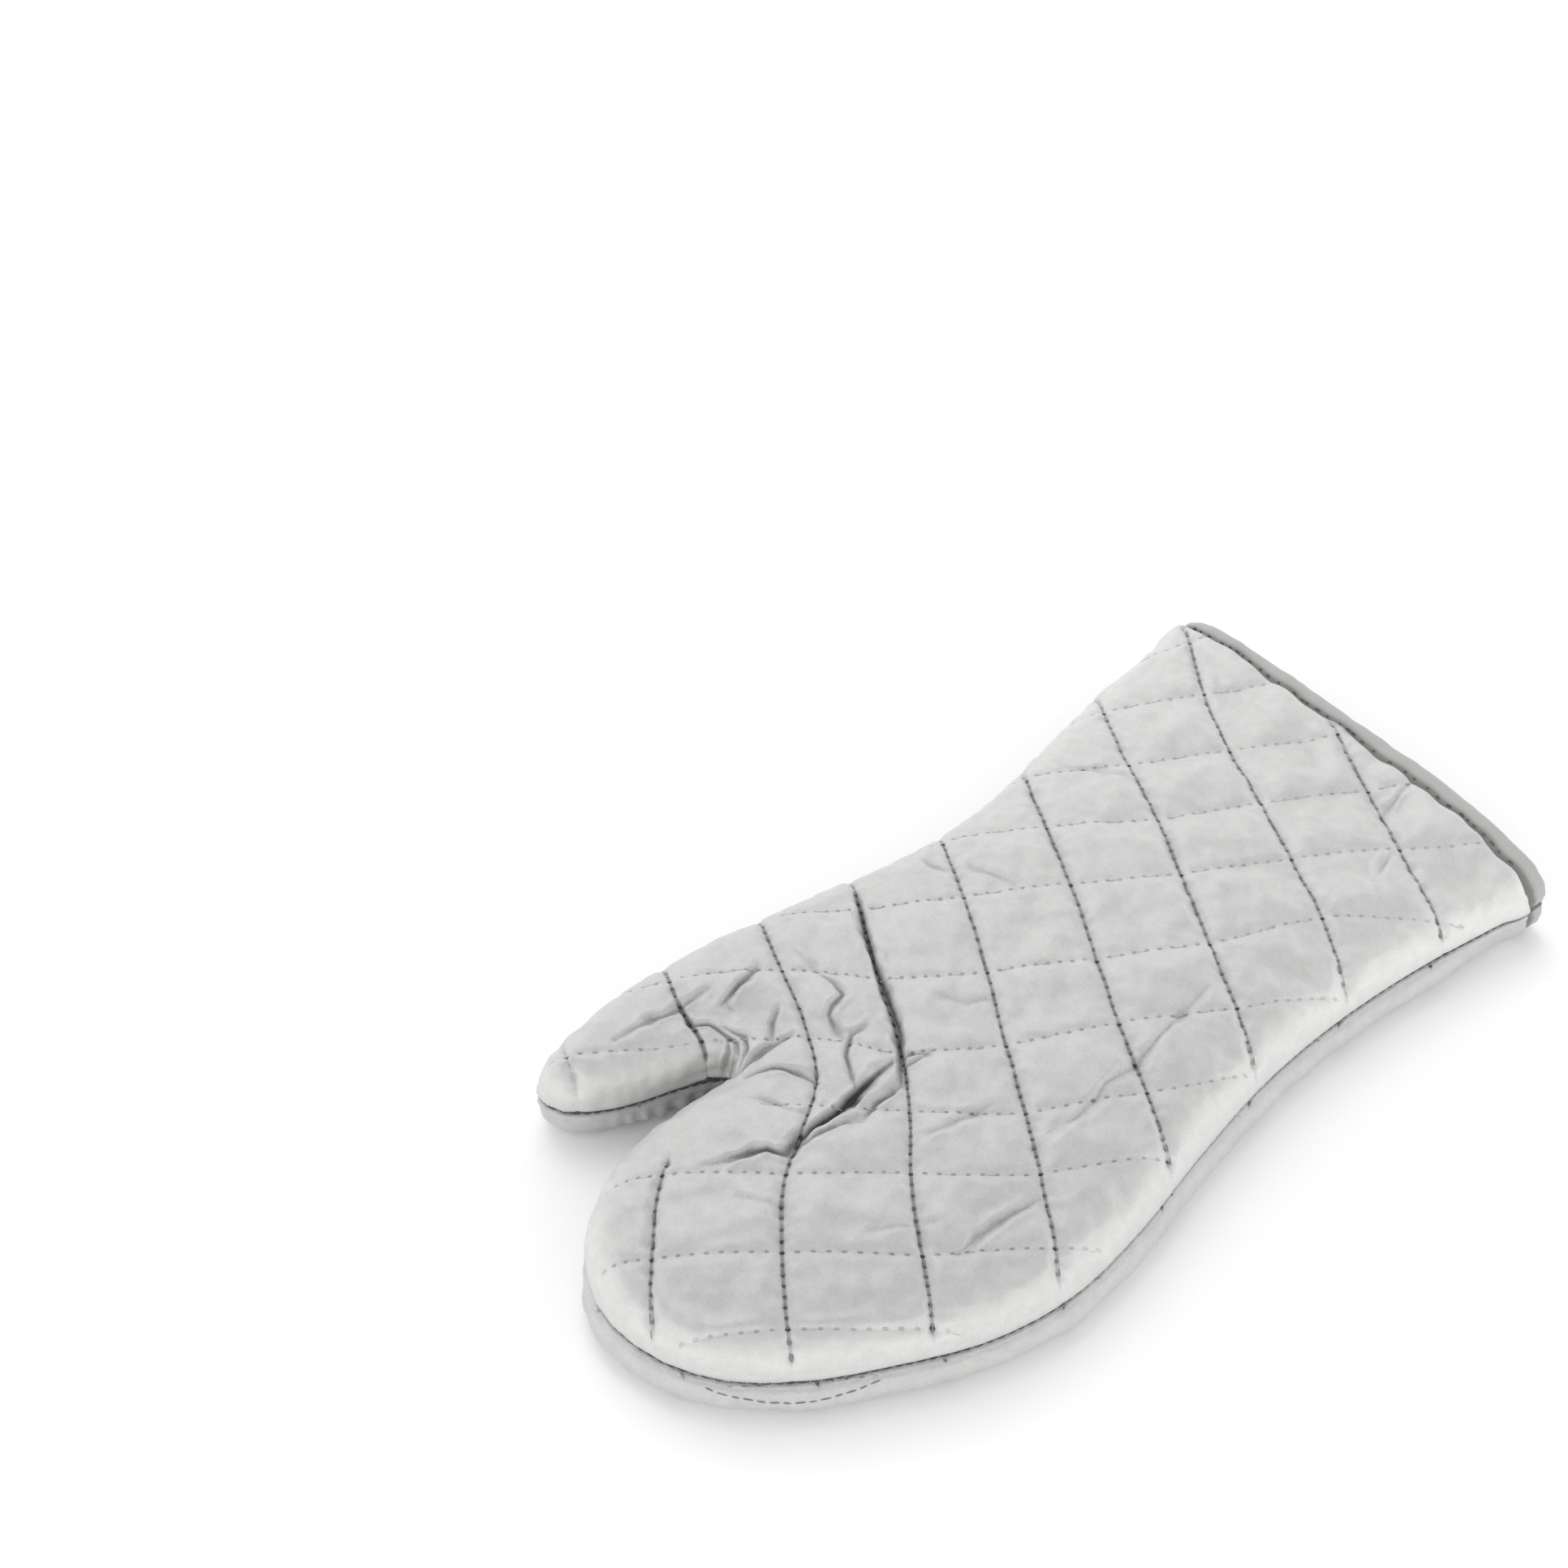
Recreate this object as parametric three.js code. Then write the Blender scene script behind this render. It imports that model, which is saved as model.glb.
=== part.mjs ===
import * as THREE from 'three';
import { mergeVertices } from 'three/addons/utils/BufferGeometryUtils.js';

// Driving dimensions, in millimetres. The mitt lies on its palm: +Y towards the cuff, +Z up,
// the thumb on the -X side.
const CUFF_Y = 160.6;
const CUFF_SLANT = 0.03;
const SLANT_START = 60;
const HEM = 9;
const SEAM_HEIGHT = 13;
const SEAM_GAP = 0.3;
const WALL = 6;
const CROWN_RISE = 5.2;
const CROWN_LENGTH = 18;
const CUFF_FLATTENING = { from: 30, to: 148, factor: 0.76 };
const CENTRE = { x: 1, y: -1.95 };

const BINDING = { width: 8, thickness: 1.2, gap: 0.3 };

// The side seam in plan, from the cuff down the thumb side, round the thumb, the crotch and the
// fingertips, and back up to the cuff. swell is how much of the rim's swelling shows there.
const SEAM = [
  { x: -87.2, y: CUFF_Y - HEM, swell: 1 },
  { x: -84.6, y: 134, swell: 1 },
  { x: -80.2, y: 109, swell: 1 },
  { x: -73.4, y: 82, swell: 1 },
  { x: -65.8, y: 53, swell: 1 },
  { x: -62.0, y: 26, swell: 1 },
  { x: -62.8, y: 0, swell: 1 },
  { x: -67.0, y: -28, swell: 1 },
  { x: -70.8, y: -60, swell: 1 },
  { x: -72.0, y: -92, swell: 1 },
  { x: -69.6, y: -114, swell: 1 },
  { x: -65.4, y: -128.6, swell: 1 },
  { x: -60.0, y: -136.6, swell: 1 },
  { x: -52.6, y: -134.6, swell: 1 },
  { x: -46.2, y: -126.5, swell: 1 },
  { x: -41.6, y: -115, swell: 1 },
  { x: -38.6, y: -103, swell: 1 },
  { x: -35.4, y: -93, swell: 0.6 },
  { x: -32.2, y: -87.4, swell: 0.3 },
  { x: -28.6, y: -86, swell: 0.3 },
  { x: -25.8, y: -89.6, swell: 0.3 },
  { x: -24.6, y: -97, swell: 0.7 },
  { x: -24.6, y: -112, swell: 1 },
  { x: -22.0, y: -128.6, swell: 1 },
  { x: -16.0, y: -144.4, swell: 1 },
  { x: -4.2, y: -157.6, swell: 1 },
  { x: 14.0, y: -165.2, swell: 1 },
  { x: 34.0, y: -162.6, swell: 1 },
  { x: 51.3, y: -152.2, swell: 1 },
  { x: 66.0, y: -134, swell: 1 },
  { x: 77.4, y: -111, swell: 1 },
  { x: 87.2, y: -86, swell: 1 },
  { x: 90.8, y: -58, swell: 1 },
  { x: 86.2, y: -28, swell: 1 },
  { x: 77.2, y: 5, swell: 1 },
  { x: 69.4, y: 40, swell: 1 },
  { x: 66.0, y: 75, swell: 1 },
  { x: 66.4, y: 110, swell: 1 },
  { x: 69.4, y: 140, swell: 1 },
  { x: 70.4, y: CUFF_Y - HEM, swell: 1 },
];

// The rim of each panel, from the seam inwards: out is the outer face, in is the inner face,
// each as an inset from the seam line and a height from the seam plane.
const BACK_RIM = [
  { outInset: 0, outRise: 0, inInset: 5.5, inRise: 0 },
  { outInset: -1.7, outRise: 1.3, inInset: 5.3, inRise: 1.6 },
  { outInset: -2.2, outRise: 4.8, inInset: 5.3, inRise: 4.0 },
  { outInset: -0.5, outRise: 9.8, inInset: 6.0, inRise: 6.8 },
  { outInset: 3.6, outRise: 13.9, inInset: 8.0, inRise: 9.2 },
  { outInset: 9, outRise: 16.4, inInset: 11, inRise: 11 },
];
const PALM_RIM = [
  { outInset: 0, outRise: 0, inInset: 5.5, inRise: 0 },
  { outInset: -1.9, outRise: 1.2, inInset: 5.3, inRise: 1.4 },
  { outInset: -2.9, outRise: 4.4, inInset: 5.3, inRise: 3.2 },
  { outInset: -2.2, outRise: 8.4, inInset: 6.2, inRise: 4.8 },
  { outInset: 0.8, outRise: 11.8, inInset: 8.0, inRise: 6.1 },
  { outInset: 7, outRise: SEAM_HEIGHT - SEAM_GAP / 2, inInset: 11, inRise: 6.8 },
];

// The quilting: two families of stitched lines, as the vectors from one line to the next.
const QUILT = {
  origin: new THREE.Vector2(21.3, -3.2),
  originLine: { u: 5.5, v: 6 },
  u: new THREE.Vector2(19.96, 30.64),
  v: new THREE.Vector2(23.9, -12.61),
  grooveWidth: 6.5,
  crispDepth: 1.8,
  faintDepth: 1.0,
};
const QUILT_LINES = { u: { from: -1, to: 12 }, v: { from: -2, to: 14 } };
const QUILT_FADE = 6;

// Points per quilted cell on the outer faces and on the lining, as shares of a cell.
const FACE_GRID = { u: [0, 0.08, 0.36, 0.64, 0.92], v: [0, 0.25, 0.5, 0.75] };
const LINING_GRID = { u: [0, 0.34, 0.67], v: [0, 0.5] };

// The folds and dents of the upper panel, each a path in plan with its depth and half width.
const FOLDS = [
  { name: 'thumb line', depth: 2.4, width: 8, path: [[-57, -17], [-27, -33], [-3, -46], [13, -55]] },
  { name: 'root fold', depth: 2.6, width: 8, path: [[9, -57], [10, -74], [11, -93]] },
  { name: 'finger fold', depth: 1.6, width: 7, path: [[12, -100], [5, -109], [2, -120]] },
  { name: 'thumb-root dent', depth: 1.6, width: 6, path: [[-30, -47], [-19, -57], [-8, -62]] },
  { name: 'crotch gather', depth: 1.8, width: 6, path: [[-31, -69], [-23, -77]] },
  { name: 'palm gather', depth: 1.6, width: 6, path: [[-10, -80], [-2, -76]] },
  { name: 'thumb crease', depth: 1.4, width: 6, path: [[-51, -100], [-50, -84]] },
  { name: 'long wrinkle', depth: 1.3, width: 7, path: [[54, -36], [53, -13], [50, 4], [44, 30]] },
  { name: 'side wrinkle', depth: 1.2, width: 6, path: [[67, -76], [68, -52]] },
  { name: 'cuff crease', depth: 1.2, width: 6, path: [[23, 128], [20, 143]] },
];

const HEM_LIFT_START = 125;

// How finely the shape is worked out: steps along the seam curve, along the distance field's
// sources and inwards from the seam, and the spacing of stations and of points in the faces.
const CURVE_STEPS = 900;
const FIELD = { step: 1.5, reach: 90, start: 4, slopeStep: 0.05, pathStep: 0.5 };
const STATION_STEP = { min: 3, max: 9, sag: 0.3 };
const CUFF_POINTS = 16;
const CLEAR_OF_RIM = 4;
const CLEAR_OF_POINTS = 3.2;
const FOLD_POINTS = { step: 7, sides: [0, -0.5, 0.5] };
const FAR_AWAY = 5000;
const NUDGE = 1e-4;
const MERGE_DISTANCE = 1e-3;

const { smoothstep: smoothStep, lerp, clamp } = THREE.MathUtils;

// A smooth curve through the seam table, with its inward normal and its swell.
function seamCurve() {
  const curve = new THREE.CatmullRomCurve3(
    SEAM.map(({ x, y, swell }) => new THREE.Vector3(x, y, swell)),
    false,
    'centripetal',
  );
  const samples = [];
  for (let i = 0; i <= CURVE_STEPS; i += 1) {
    const t = i / CURVE_STEPS;
    const point = curve.getPoint(t);
    const ahead = curve.getPoint(Math.min(1, t + NUDGE));
    const behind = curve.getPoint(Math.max(0, t - NUDGE));
    const tangent = new THREE.Vector2(ahead.x - behind.x, ahead.y - behind.y).normalize();
    samples.push({
      point: new THREE.Vector2(point.x, point.y),
      inward: new THREE.Vector2(-tangent.y, tangent.x),
      swell: point.z,
    });
  }
  return samples;
}

// Stations along the seam: close together where it turns tightly, wide apart where it is straight.
function seamStations(samples) {
  const costs = [0];
  for (let i = 1; i < samples.length; i += 1) {
    const length = samples[i].point.distanceTo(samples[i - 1].point);
    const turn = Math.abs(samples[i].inward.angle() - samples[i - 1].inward.angle());
    const bend = Math.min(turn, 2 * Math.PI - turn) / length;
    const step = bend > 0 ? Math.sqrt((8 * STATION_STEP.sag) / bend) : STATION_STEP.max;
    costs.push(costs[i - 1] + length / clamp(step, STATION_STEP.min, STATION_STEP.max));
  }
  const count = Math.round(costs[costs.length - 1]);
  const stations = [];
  for (let k = 0, i = 0; k <= count; k += 1) {
    const wanted = (costs[costs.length - 1] * k) / count;
    while (i < samples.length - 1 && costs[i] < wanted) i += 1;
    stations.push(samples[i]);
  }
  return stations;
}

const fineSeam = seamCurve();
const firstSeam = fineSeam[0].point;
const lastSeam = fineSeam[fineSeam.length - 1].point;

// Sources of the distance field: the seam at even steps, run on straight beyond the cuff.
function fieldSources() {
  const sources = [];
  for (let i = 1; i < fineSeam.length; i += 1) {
    const a = fineSeam[i - 1].point;
    const b = fineSeam[i].point;
    const pieces = Math.max(1, Math.round(a.distanceTo(b) / FIELD.step));
    for (let k = 0; k < pieces; k += 1) {
      const spot = a.clone().lerp(b, (k + 0.5) / pieces);
      sources.push({ x: spot.x, y: spot.y, length: a.distanceTo(b) / pieces });
    }
  }
  for (let y = CUFF_Y - HEM; y < CUFF_Y + FIELD.reach; y += FIELD.step) {
    sources.push({ x: firstSeam.x, y: y + FIELD.step / 2, length: FIELD.step });
    sources.push({ x: lastSeam.x, y: y + FIELD.step / 2, length: FIELD.step });
  }
  return sources;
}
const SOURCES = fieldSources();

// Smooth distance from the seam: the inverse fifth power of the distance, summed along the seam and
// scaled so that it is exact beside a straight one. It is rounded where two sides are equally near,
// and the same all along the hem.
function seamDistance(x, y) {
  const row = Math.min(y, CUFF_Y - HEM);
  let sum = 0;
  for (const source of SOURCES) {
    const squared = (x - source.x) ** 2 + (row - source.y) ** 2;
    sum += source.length / (squared * squared * Math.sqrt(squared));
  }
  return (0.75 * sum) ** -0.25;
}

function seamDistanceSlope(x, y) {
  const step = FIELD.slopeStep;
  return new THREE.Vector2(
    (seamDistance(x + step, y) - seamDistance(x - step, y)) / (2 * step),
    (seamDistance(x, y + step) - seamDistance(x, y - step)) / (2 * step),
  );
}

// The point that lies a given inset inwards of a seam station, along a path that never crosses the
// path of its neighbour.
function insetPoint(station, inset) {
  const outward = inset < 0 ? inset * station.swell : inset;
  if (station.straight || inset <= FIELD.start) {
    return station.point.clone().addScaledVector(station.inward, outward);
  }
  const spot = station.point.clone().addScaledVector(station.inward, FIELD.start);
  const steps = Math.ceil((inset - FIELD.start) / FIELD.pathStep);
  for (let k = 0; k < steps; k += 1) {
    spot.addScaledVector(seamDistanceSlope(spot.x, spot.y), (inset - FIELD.start) / steps);
  }
  return spot;
}

// All stations: two square ones on each side of the hem and the curved ones between them.
function allStations() {
  const curved = seamStations(fineSeam).slice(1, -1);
  const square = (point, y, side) => ({
    point: new THREE.Vector2(point.x, y),
    inward: new THREE.Vector2(side, 0),
    swell: 1,
    straight: true,
  });
  return [
    square(firstSeam, CUFF_Y, 1),
    square(firstSeam, CUFF_Y - HEM, 1),
    ...curved,
    square(lastSeam, CUFF_Y - HEM, -1),
    square(lastSeam, CUFF_Y, -1),
  ];
}
const STATIONS = allStations();

// Where a point lies among the quilting lines: whole values of u and v are on a line.
function quiltPlace(x, y) {
  const { origin, originLine, u, v } = QUILT;
  const area = u.x * v.y - u.y * v.x;
  const dx = x - origin.x;
  const dy = y - origin.y;
  return {
    u: originLine.u + (dx * v.y - dy * v.x) / area,
    v: originLine.v + (dy * u.x - dx * u.y) / area,
    area: Math.abs(area),
  };
}

function quiltDip(x, y, distance, rimInset) {
  const place = quiltPlace(x, y);
  const toCrisp = (Math.abs(place.u - Math.round(place.u)) * place.area) / QUILT.v.length();
  const toFaint = (Math.abs(place.v - Math.round(place.v)) * place.area) / QUILT.u.length();
  const groove = (away) => Math.max(0, 1 - away / QUILT.grooveWidth) ** 2;
  const dip = Math.max(QUILT.crispDepth * groove(toCrisp), QUILT.faintDepth * groove(toFaint));
  const fade = smoothStep(distance, rimInset, rimInset + QUILT_FADE)
    * smoothStep(CUFF_Y - HEM - y, 0, QUILT_FADE);
  return dip * fade;
}

function distanceToPath(x, y, path) {
  let nearest = Infinity;
  for (let i = 1; i < path.length; i += 1) {
    const [ax, ay] = path[i - 1];
    const [bx, by] = path[i];
    const length = (bx - ax) ** 2 + (by - ay) ** 2;
    const t = clamp(((x - ax) * (bx - ax) + (y - ay) * (by - ay)) / length, 0, 1);
    nearest = Math.min(nearest, Math.hypot(x - ax - t * (bx - ax), y - ay - t * (by - ay)));
  }
  return nearest;
}

function foldDip(x, y) {
  const dips = FOLDS.map(({ path, depth, width }) => (
    depth * Math.max(0, 1 - distanceToPath(x, y, path) / width) ** 2
  ));
  return Math.max(...dips);
}

// The mitt gets flatter towards the cuff: the share of its full rise above the seam.
function riseShare(y) {
  const { from, to, factor } = CUFF_FLATTENING;
  return lerp(1, factor, smoothStep(y, from, to));
}

// Height of the smooth top of the mitt, without quilting and folds.
function crownHeight(distance, y) {
  const shoulder = BACK_RIM[BACK_RIM.length - 1];
  const inset = Math.max(0, distance - shoulder.outInset);
  const rise = shoulder.outRise + CROWN_RISE * (1 - Math.exp(-inset / CROWN_LENGTH));
  return SEAM_HEIGHT + SEAM_GAP / 2 + rise * riseShare(y);
}

// How far the lower face lifts off the surface towards the cuff, to leave room for the binding.
function hemLift(y) {
  return (BINDING.gap + BINDING.thickness) * smoothStep(y, HEM_LIFT_START, CUFF_Y - HEM);
}

// The four large faces, as heights over the plan.
const FACES = {
  backOuter(x, y, distance) {
    const rimInset = BACK_RIM[BACK_RIM.length - 1].outInset;
    return crownHeight(distance, y) - Math.max(quiltDip(x, y, distance, rimInset), foldDip(x, y));
  },
  backInner(x, y, distance) {
    return crownHeight(distance, y) - WALL;
  },
  palmOuter(x, y, distance) {
    return hemLift(y) + quiltDip(x, y, distance, PALM_RIM[PALM_RIM.length - 1].outInset);
  },
  palmInner() {
    return WALL;
  },
};

// Whether a point lies inside a closed outline, by counting the sides to its right.
function insidePolygon(x, y, polygon) {
  let inside = false;
  for (let i = 0, j = polygon.length - 1; i < polygon.length; j = i, i += 1) {
    const a = polygon[i];
    const b = polygon[j];
    const crosses = (a.y > y) !== (b.y > y);
    if (crosses && x < ((b.x - a.x) * (y - a.y)) / (b.y - a.y) + a.x) inside = !inside;
  }
  return inside;
}

const seamPolygon = STATIONS.map(({ point }) => point);
const insideSeam = (x, y) => insidePolygon(x, y, seamPolygon);

// Points of the quilting grid and of the folds that lie well inside the rim.
function innerPoints(grid, rimInset, folds) {
  const points = [];
  const tooClose = (x, y) => points.some((p) => Math.hypot(p.x - x, p.y - y) < CLEAR_OF_POINTS);
  const offer = (x, y) => {
    if (y > CUFF_Y - HEM - CLEAR_OF_RIM || !insideSeam(x, y) || tooClose(x, y)) return;
    const distance = seamDistance(x, y);
    if (distance > rimInset + CLEAR_OF_RIM) points.push({ x, y, distance });
  };
  for (const { path, width } of folds) {
    for (let i = 1; i < path.length; i += 1) {
      const a = new THREE.Vector2(...path[i - 1]);
      const b = new THREE.Vector2(...path[i]);
      const across = new THREE.Vector2(a.y - b.y, b.x - a.x).normalize();
      const pieces = Math.ceil(a.distanceTo(b) / FOLD_POINTS.step);
      for (const side of FOLD_POINTS.sides) {
        for (let k = 0; k <= pieces; k += 1) {
          const spot = a.clone().lerp(b, k / pieces).addScaledVector(across, side * width);
          offer(spot.x, spot.y);
        }
      }
    }
  }
  for (let i = QUILT_LINES.u.from; i <= QUILT_LINES.u.to; i += 1) {
    for (let j = QUILT_LINES.v.from; j <= QUILT_LINES.v.to; j += 1) {
      for (const du of grid.u) {
        for (const dv of grid.v) {
          const spot = QUILT.origin.clone()
            .addScaledVector(QUILT.u, i + du - QUILT.originLine.u)
            .addScaledVector(QUILT.v, j + dv - QUILT.originLine.v);
          offer(spot.x, spot.y);
        }
      }
    }
  }
  return points;
}

// Delaunay triangles of points in the plane, counterclockwise, by adding one point at a time. Each
// point is nudged a little, so that no four of them share a circle.
function triangulate(points) {
  const spots = points.map(({ x, y }, i) => ({
    x: x + NUDGE * Math.sin(i),
    y: y + NUDGE * Math.cos(3 * i),
  }));
  const count = spots.length;
  spots.push({ x: -FAR_AWAY, y: -FAR_AWAY }, { x: FAR_AWAY, y: -FAR_AWAY }, { x: 0, y: FAR_AWAY });
  const circle = (a, b, c) => {
    const p = spots[a];
    const q = spots[b];
    const r = spots[c];
    const d = 2 * (p.x * (q.y - r.y) + q.x * (r.y - p.y) + r.x * (p.y - q.y));
    const pp = p.x ** 2 + p.y ** 2;
    const qq = q.x ** 2 + q.y ** 2;
    const rr = r.x ** 2 + r.y ** 2;
    const x = (pp * (q.y - r.y) + qq * (r.y - p.y) + rr * (p.y - q.y)) / d;
    const y = (pp * (r.x - q.x) + qq * (p.x - r.x) + rr * (q.x - p.x)) / d;
    return { corners: [a, b, c], x, y, reach: (p.x - x) ** 2 + (p.y - y) ** 2 };
  };
  let triangles = [circle(count, count + 1, count + 2)];
  for (let i = 0; i < count; i += 1) {
    const { x, y } = spots[i];
    const kept = [];
    const edges = new Map();
    for (const triangle of triangles) {
      if ((x - triangle.x) ** 2 + (y - triangle.y) ** 2 >= triangle.reach) {
        kept.push(triangle);
      } else {
        for (let k = 0; k < 3; k += 1) {
          const from = triangle.corners[k];
          const to = triangle.corners[(k + 1) % 3];
          if (!edges.delete(`${to},${from}`)) edges.set(`${from},${to}`, [from, to]);
        }
      }
    }
    for (const [from, to] of edges.values()) kept.push(circle(from, to, i));
    triangles = kept;
  }
  return triangles.map(({ corners }) => corners).filter((corners) => corners.every((c) => c < count));
}

// The cuff edge isn't quite square to the arm: its little-finger side reaches further.
function slantCuff(geometry) {
  const place = geometry.getAttribute('position');
  for (let i = 0; i < place.count; i += 1) {
    const share = smoothStep(place.getY(i), SLANT_START, CUFF_Y - HEM);
    place.setY(i, place.getY(i) + CUFF_SLANT * place.getX(i) * share);
  }
  return geometry;
}

// A closed body gathered from points and triangles.
class Shell {
  constructor(mirrored) {
    this.mirrored = mirrored;
    this.positions = [];
    this.triangles = [];
  }

  point(x, y, z) {
    this.positions.push(x, y, z);
    return this.positions.length / 3 - 1;
  }

  triangle(a, b, c) {
    if (this.mirrored) this.triangles.push(a, c, b);
    else this.triangles.push(a, b, c);
  }

  quad(a, b, c, d) {
    this.triangle(a, b, c);
    this.triangle(a, c, d);
  }

  geometry() {
    const raw = new THREE.BufferGeometry();
    raw.setAttribute('position', new THREE.Float32BufferAttribute(this.positions, 3));
    raw.setIndex(this.triangles);
    const merged = slantCuff(mergeVertices(raw, MERGE_DISTANCE));
    merged.computeVertexNormals();
    return merged;
  }
}

// The middle of a large face: its ring of rim points, its cuff line, and triangles between them.
function fillFace(shell, ring, height, grid, rimInset, folds, facesUp) {
  const left = ring[0];
  const right = ring[ring.length - 1];
  const cuffRow = (y) => {
    const row = [];
    for (let k = 1; k < CUFF_POINTS; k += 1) {
      row.push({ x: lerp(left.x, right.x, k / CUFF_POINTS), y });
    }
    return row;
  };
  const edge = cuffRow(CUFF_Y);
  const hem = cuffRow(CUFF_Y - HEM);
  const loose = [...edge, ...hem, ...innerPoints(grid, rimInset, folds)];
  for (const spot of loose) {
    spot.index = shell.point(spot.x, spot.y, height(spot.x, spot.y, seamDistance(spot.x, spot.y)));
  }
  const points = [...ring, ...loose];
  const outline = [...ring, ...edge.slice().reverse()];
  for (const [a, b, c] of triangulate(points)) {
    const x = (points[a].x + points[b].x + points[c].x) / 3;
    const y = (points[a].y + points[b].y + points[c].y) / 3;
    if (insidePolygon(x, y, outline)) {
      if (facesUp) shell.triangle(points[a].index, points[b].index, points[c].index);
      else shell.triangle(points[a].index, points[c].index, points[b].index);
    }
  }
  return edge.map(({ index }) => index);
}

// One padded panel: outer face, inner face, the land that meets the other panel, and the cuff end.
function panelGeometry({ rim, side, outer, inner, folds }) {
  const shell = new Shell(side < 0);
  const plane = SEAM_HEIGHT + (side * SEAM_GAP) / 2;
  const rings = rim.map(({ outInset, outRise, inInset, inRise }, r) => {
    const row = (inset, height) => STATIONS.map((station) => {
      const spot = insetPoint(station, inset);
      return { x: spot.x, y: spot.y, index: shell.point(spot.x, spot.y, height(spot)) };
    });
    const rimHeight = (rise) => ({ y }) => (
      side < 0 ? Math.max(plane - rise, hemLift(y)) : plane + rise * riseShare(y)
    );
    const lining = ({ x, y }) => inner(x, y, seamDistance(x, y));
    const last = r === rim.length - 1;
    return {
      outer: row(outInset, rimHeight(outRise)),
      inner: row(inInset, last ? lining : rimHeight(inRise)),
    };
  });
  const strip = (first, second) => {
    for (let s = 1; s < first.length; s += 1) {
      shell.quad(first[s - 1].index, first[s].index, second[s].index, second[s - 1].index);
    }
  };
  for (let r = 1; r < rings.length; r += 1) {
    strip(rings[r - 1].outer, rings[r].outer);
    strip(rings[r].inner, rings[r - 1].inner);
  }
  strip(rings[0].inner, rings[0].outer);

  const top = rings[rings.length - 1];
  const insets = rim[rim.length - 1];
  const outerEdge = fillFace(shell, top.outer, outer, FACE_GRID, insets.outInset, folds, true);
  const innerEdge = fillFace(shell, top.inner, inner, LINING_GRID, insets.inInset, [], false);
  const section = (name, middle) => [
    ...rings.map((ring) => ring[name][0].index),
    ...middle,
    ...rings.map((ring) => ring[name][STATIONS.length - 1].index).reverse(),
  ];
  const outerSection = section('outer', outerEdge);
  const innerSection = section('inner', innerEdge);
  for (let k = 1; k < outerSection.length; k += 1) {
    shell.quad(outerSection[k - 1], outerSection[k], innerSection[k], innerSection[k - 1]);
  }
  const at = (index) => new THREE.Vector2(shell.positions[3 * index], shell.positions[3 * index + 2]);
  return {
    geometry: shell.geometry(),
    outerSection: outerSection.map(at),
    innerSection: innerSection.map(at),
  };
}

// A line in the cuff's plane moved sideways by a distance, to the left of its direction. Its ends
// slide along the seam plane.
function offsetLine(line, distance) {
  return line.map((spot, k) => {
    const before = line[Math.max(0, k - 1)];
    const after = line[Math.min(line.length - 1, k + 1)];
    const into = spot.clone().sub(before).normalize();
    const out = after.clone().sub(spot).normalize();
    if (k === 0) into.copy(out);
    if (k === line.length - 1) out.copy(into);
    const normal = new THREE.Vector2(-into.y - out.y, into.x + out.x).normalize();
    if (k === 0 || k === line.length - 1) {
      return new THREE.Vector2(spot.x + distance / normal.x, spot.y);
    }
    const stretch = 1 / normal.dot(new THREE.Vector2(-into.y, into.x));
    return spot.clone().addScaledVector(normal, distance * stretch);
  });
}

// The folded strip over the cuff edge of a panel: a U section swept along the panel's end.
function bindingGeometry({ outerSection, innerSection, side }) {
  const shell = new Shell(side < 0);
  const { width, thickness, gap } = BINDING;
  const face = gap + thickness;
  const rows = [
    { line: offsetLine(outerSection, side * face), y: CUFF_Y - width },
    { line: offsetLine(outerSection, side * gap), y: CUFF_Y - width },
    { line: offsetLine(outerSection, side * gap), y: CUFF_Y + gap },
    { line: offsetLine(innerSection, -side * gap), y: CUFF_Y + gap },
    { line: offsetLine(innerSection, -side * gap), y: CUFF_Y - width },
    { line: offsetLine(innerSection, -side * face), y: CUFF_Y - width },
    { line: offsetLine(innerSection, -side * face), y: CUFF_Y + face },
    { line: offsetLine(outerSection, side * face), y: CUFF_Y + face },
  ].map(({ line, y }) => line.map((spot) => shell.point(spot.x, y, spot.y)));
  const last = outerSection.length - 1;
  for (let r = 0; r < rows.length; r += 1) {
    const next = rows[(r + 1) % rows.length];
    for (let k = 1; k <= last; k += 1) {
      shell.quad(rows[r][k], rows[r][k - 1], next[k - 1], next[k]);
    }
  }
  const cap = (k, turned) => {
    const quads = [[0, 1, 2, 7], [2, 3, 6, 7], [3, 4, 5, 6]];
    for (const quad of quads) {
      const corners = quad.map((r) => rows[r][k]);
      if (!turned) corners.reverse();
      shell.quad(...corners);
    }
  };
  cap(0, false);
  cap(last, true);
  return shell.geometry();
}

const COATED_CLOTH = { color: 0xc9c9c7, roughness: 0.5, metalness: 0.35 };
const BINDING_CLOTH = { color: 0xb9b6b0, roughness: 0.8, metalness: 0 };

const back = panelGeometry({
  rim: BACK_RIM,
  side: 1,
  outer: FACES.backOuter,
  inner: FACES.backInner,
  folds: FOLDS,
});
const palm = panelGeometry({
  rim: PALM_RIM,
  side: -1,
  outer: FACES.palmOuter,
  inner: FACES.palmInner,
  folds: [],
});

const mitt = new THREE.Group();
mitt.name = 'mitt';
mitt.position.set(-CENTRE.x, -CENTRE.y, 0);

function addPiece(name, geometry, finish) {
  const mesh = new THREE.Mesh(geometry, new THREE.MeshStandardMaterial(finish));
  mesh.name = name;
  mitt.add(mesh);
}

addPiece('back_panel', back.geometry, COATED_CLOTH);
addPiece('palm_panel', palm.geometry, COATED_CLOTH);
addPiece('back_cuff_binding', bindingGeometry({ ...back, side: 1 }), BINDING_CLOTH);
addPiece('palm_cuff_binding', bindingGeometry({ ...palm, side: -1 }), BINDING_CLOTH);

export default mitt;
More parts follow.
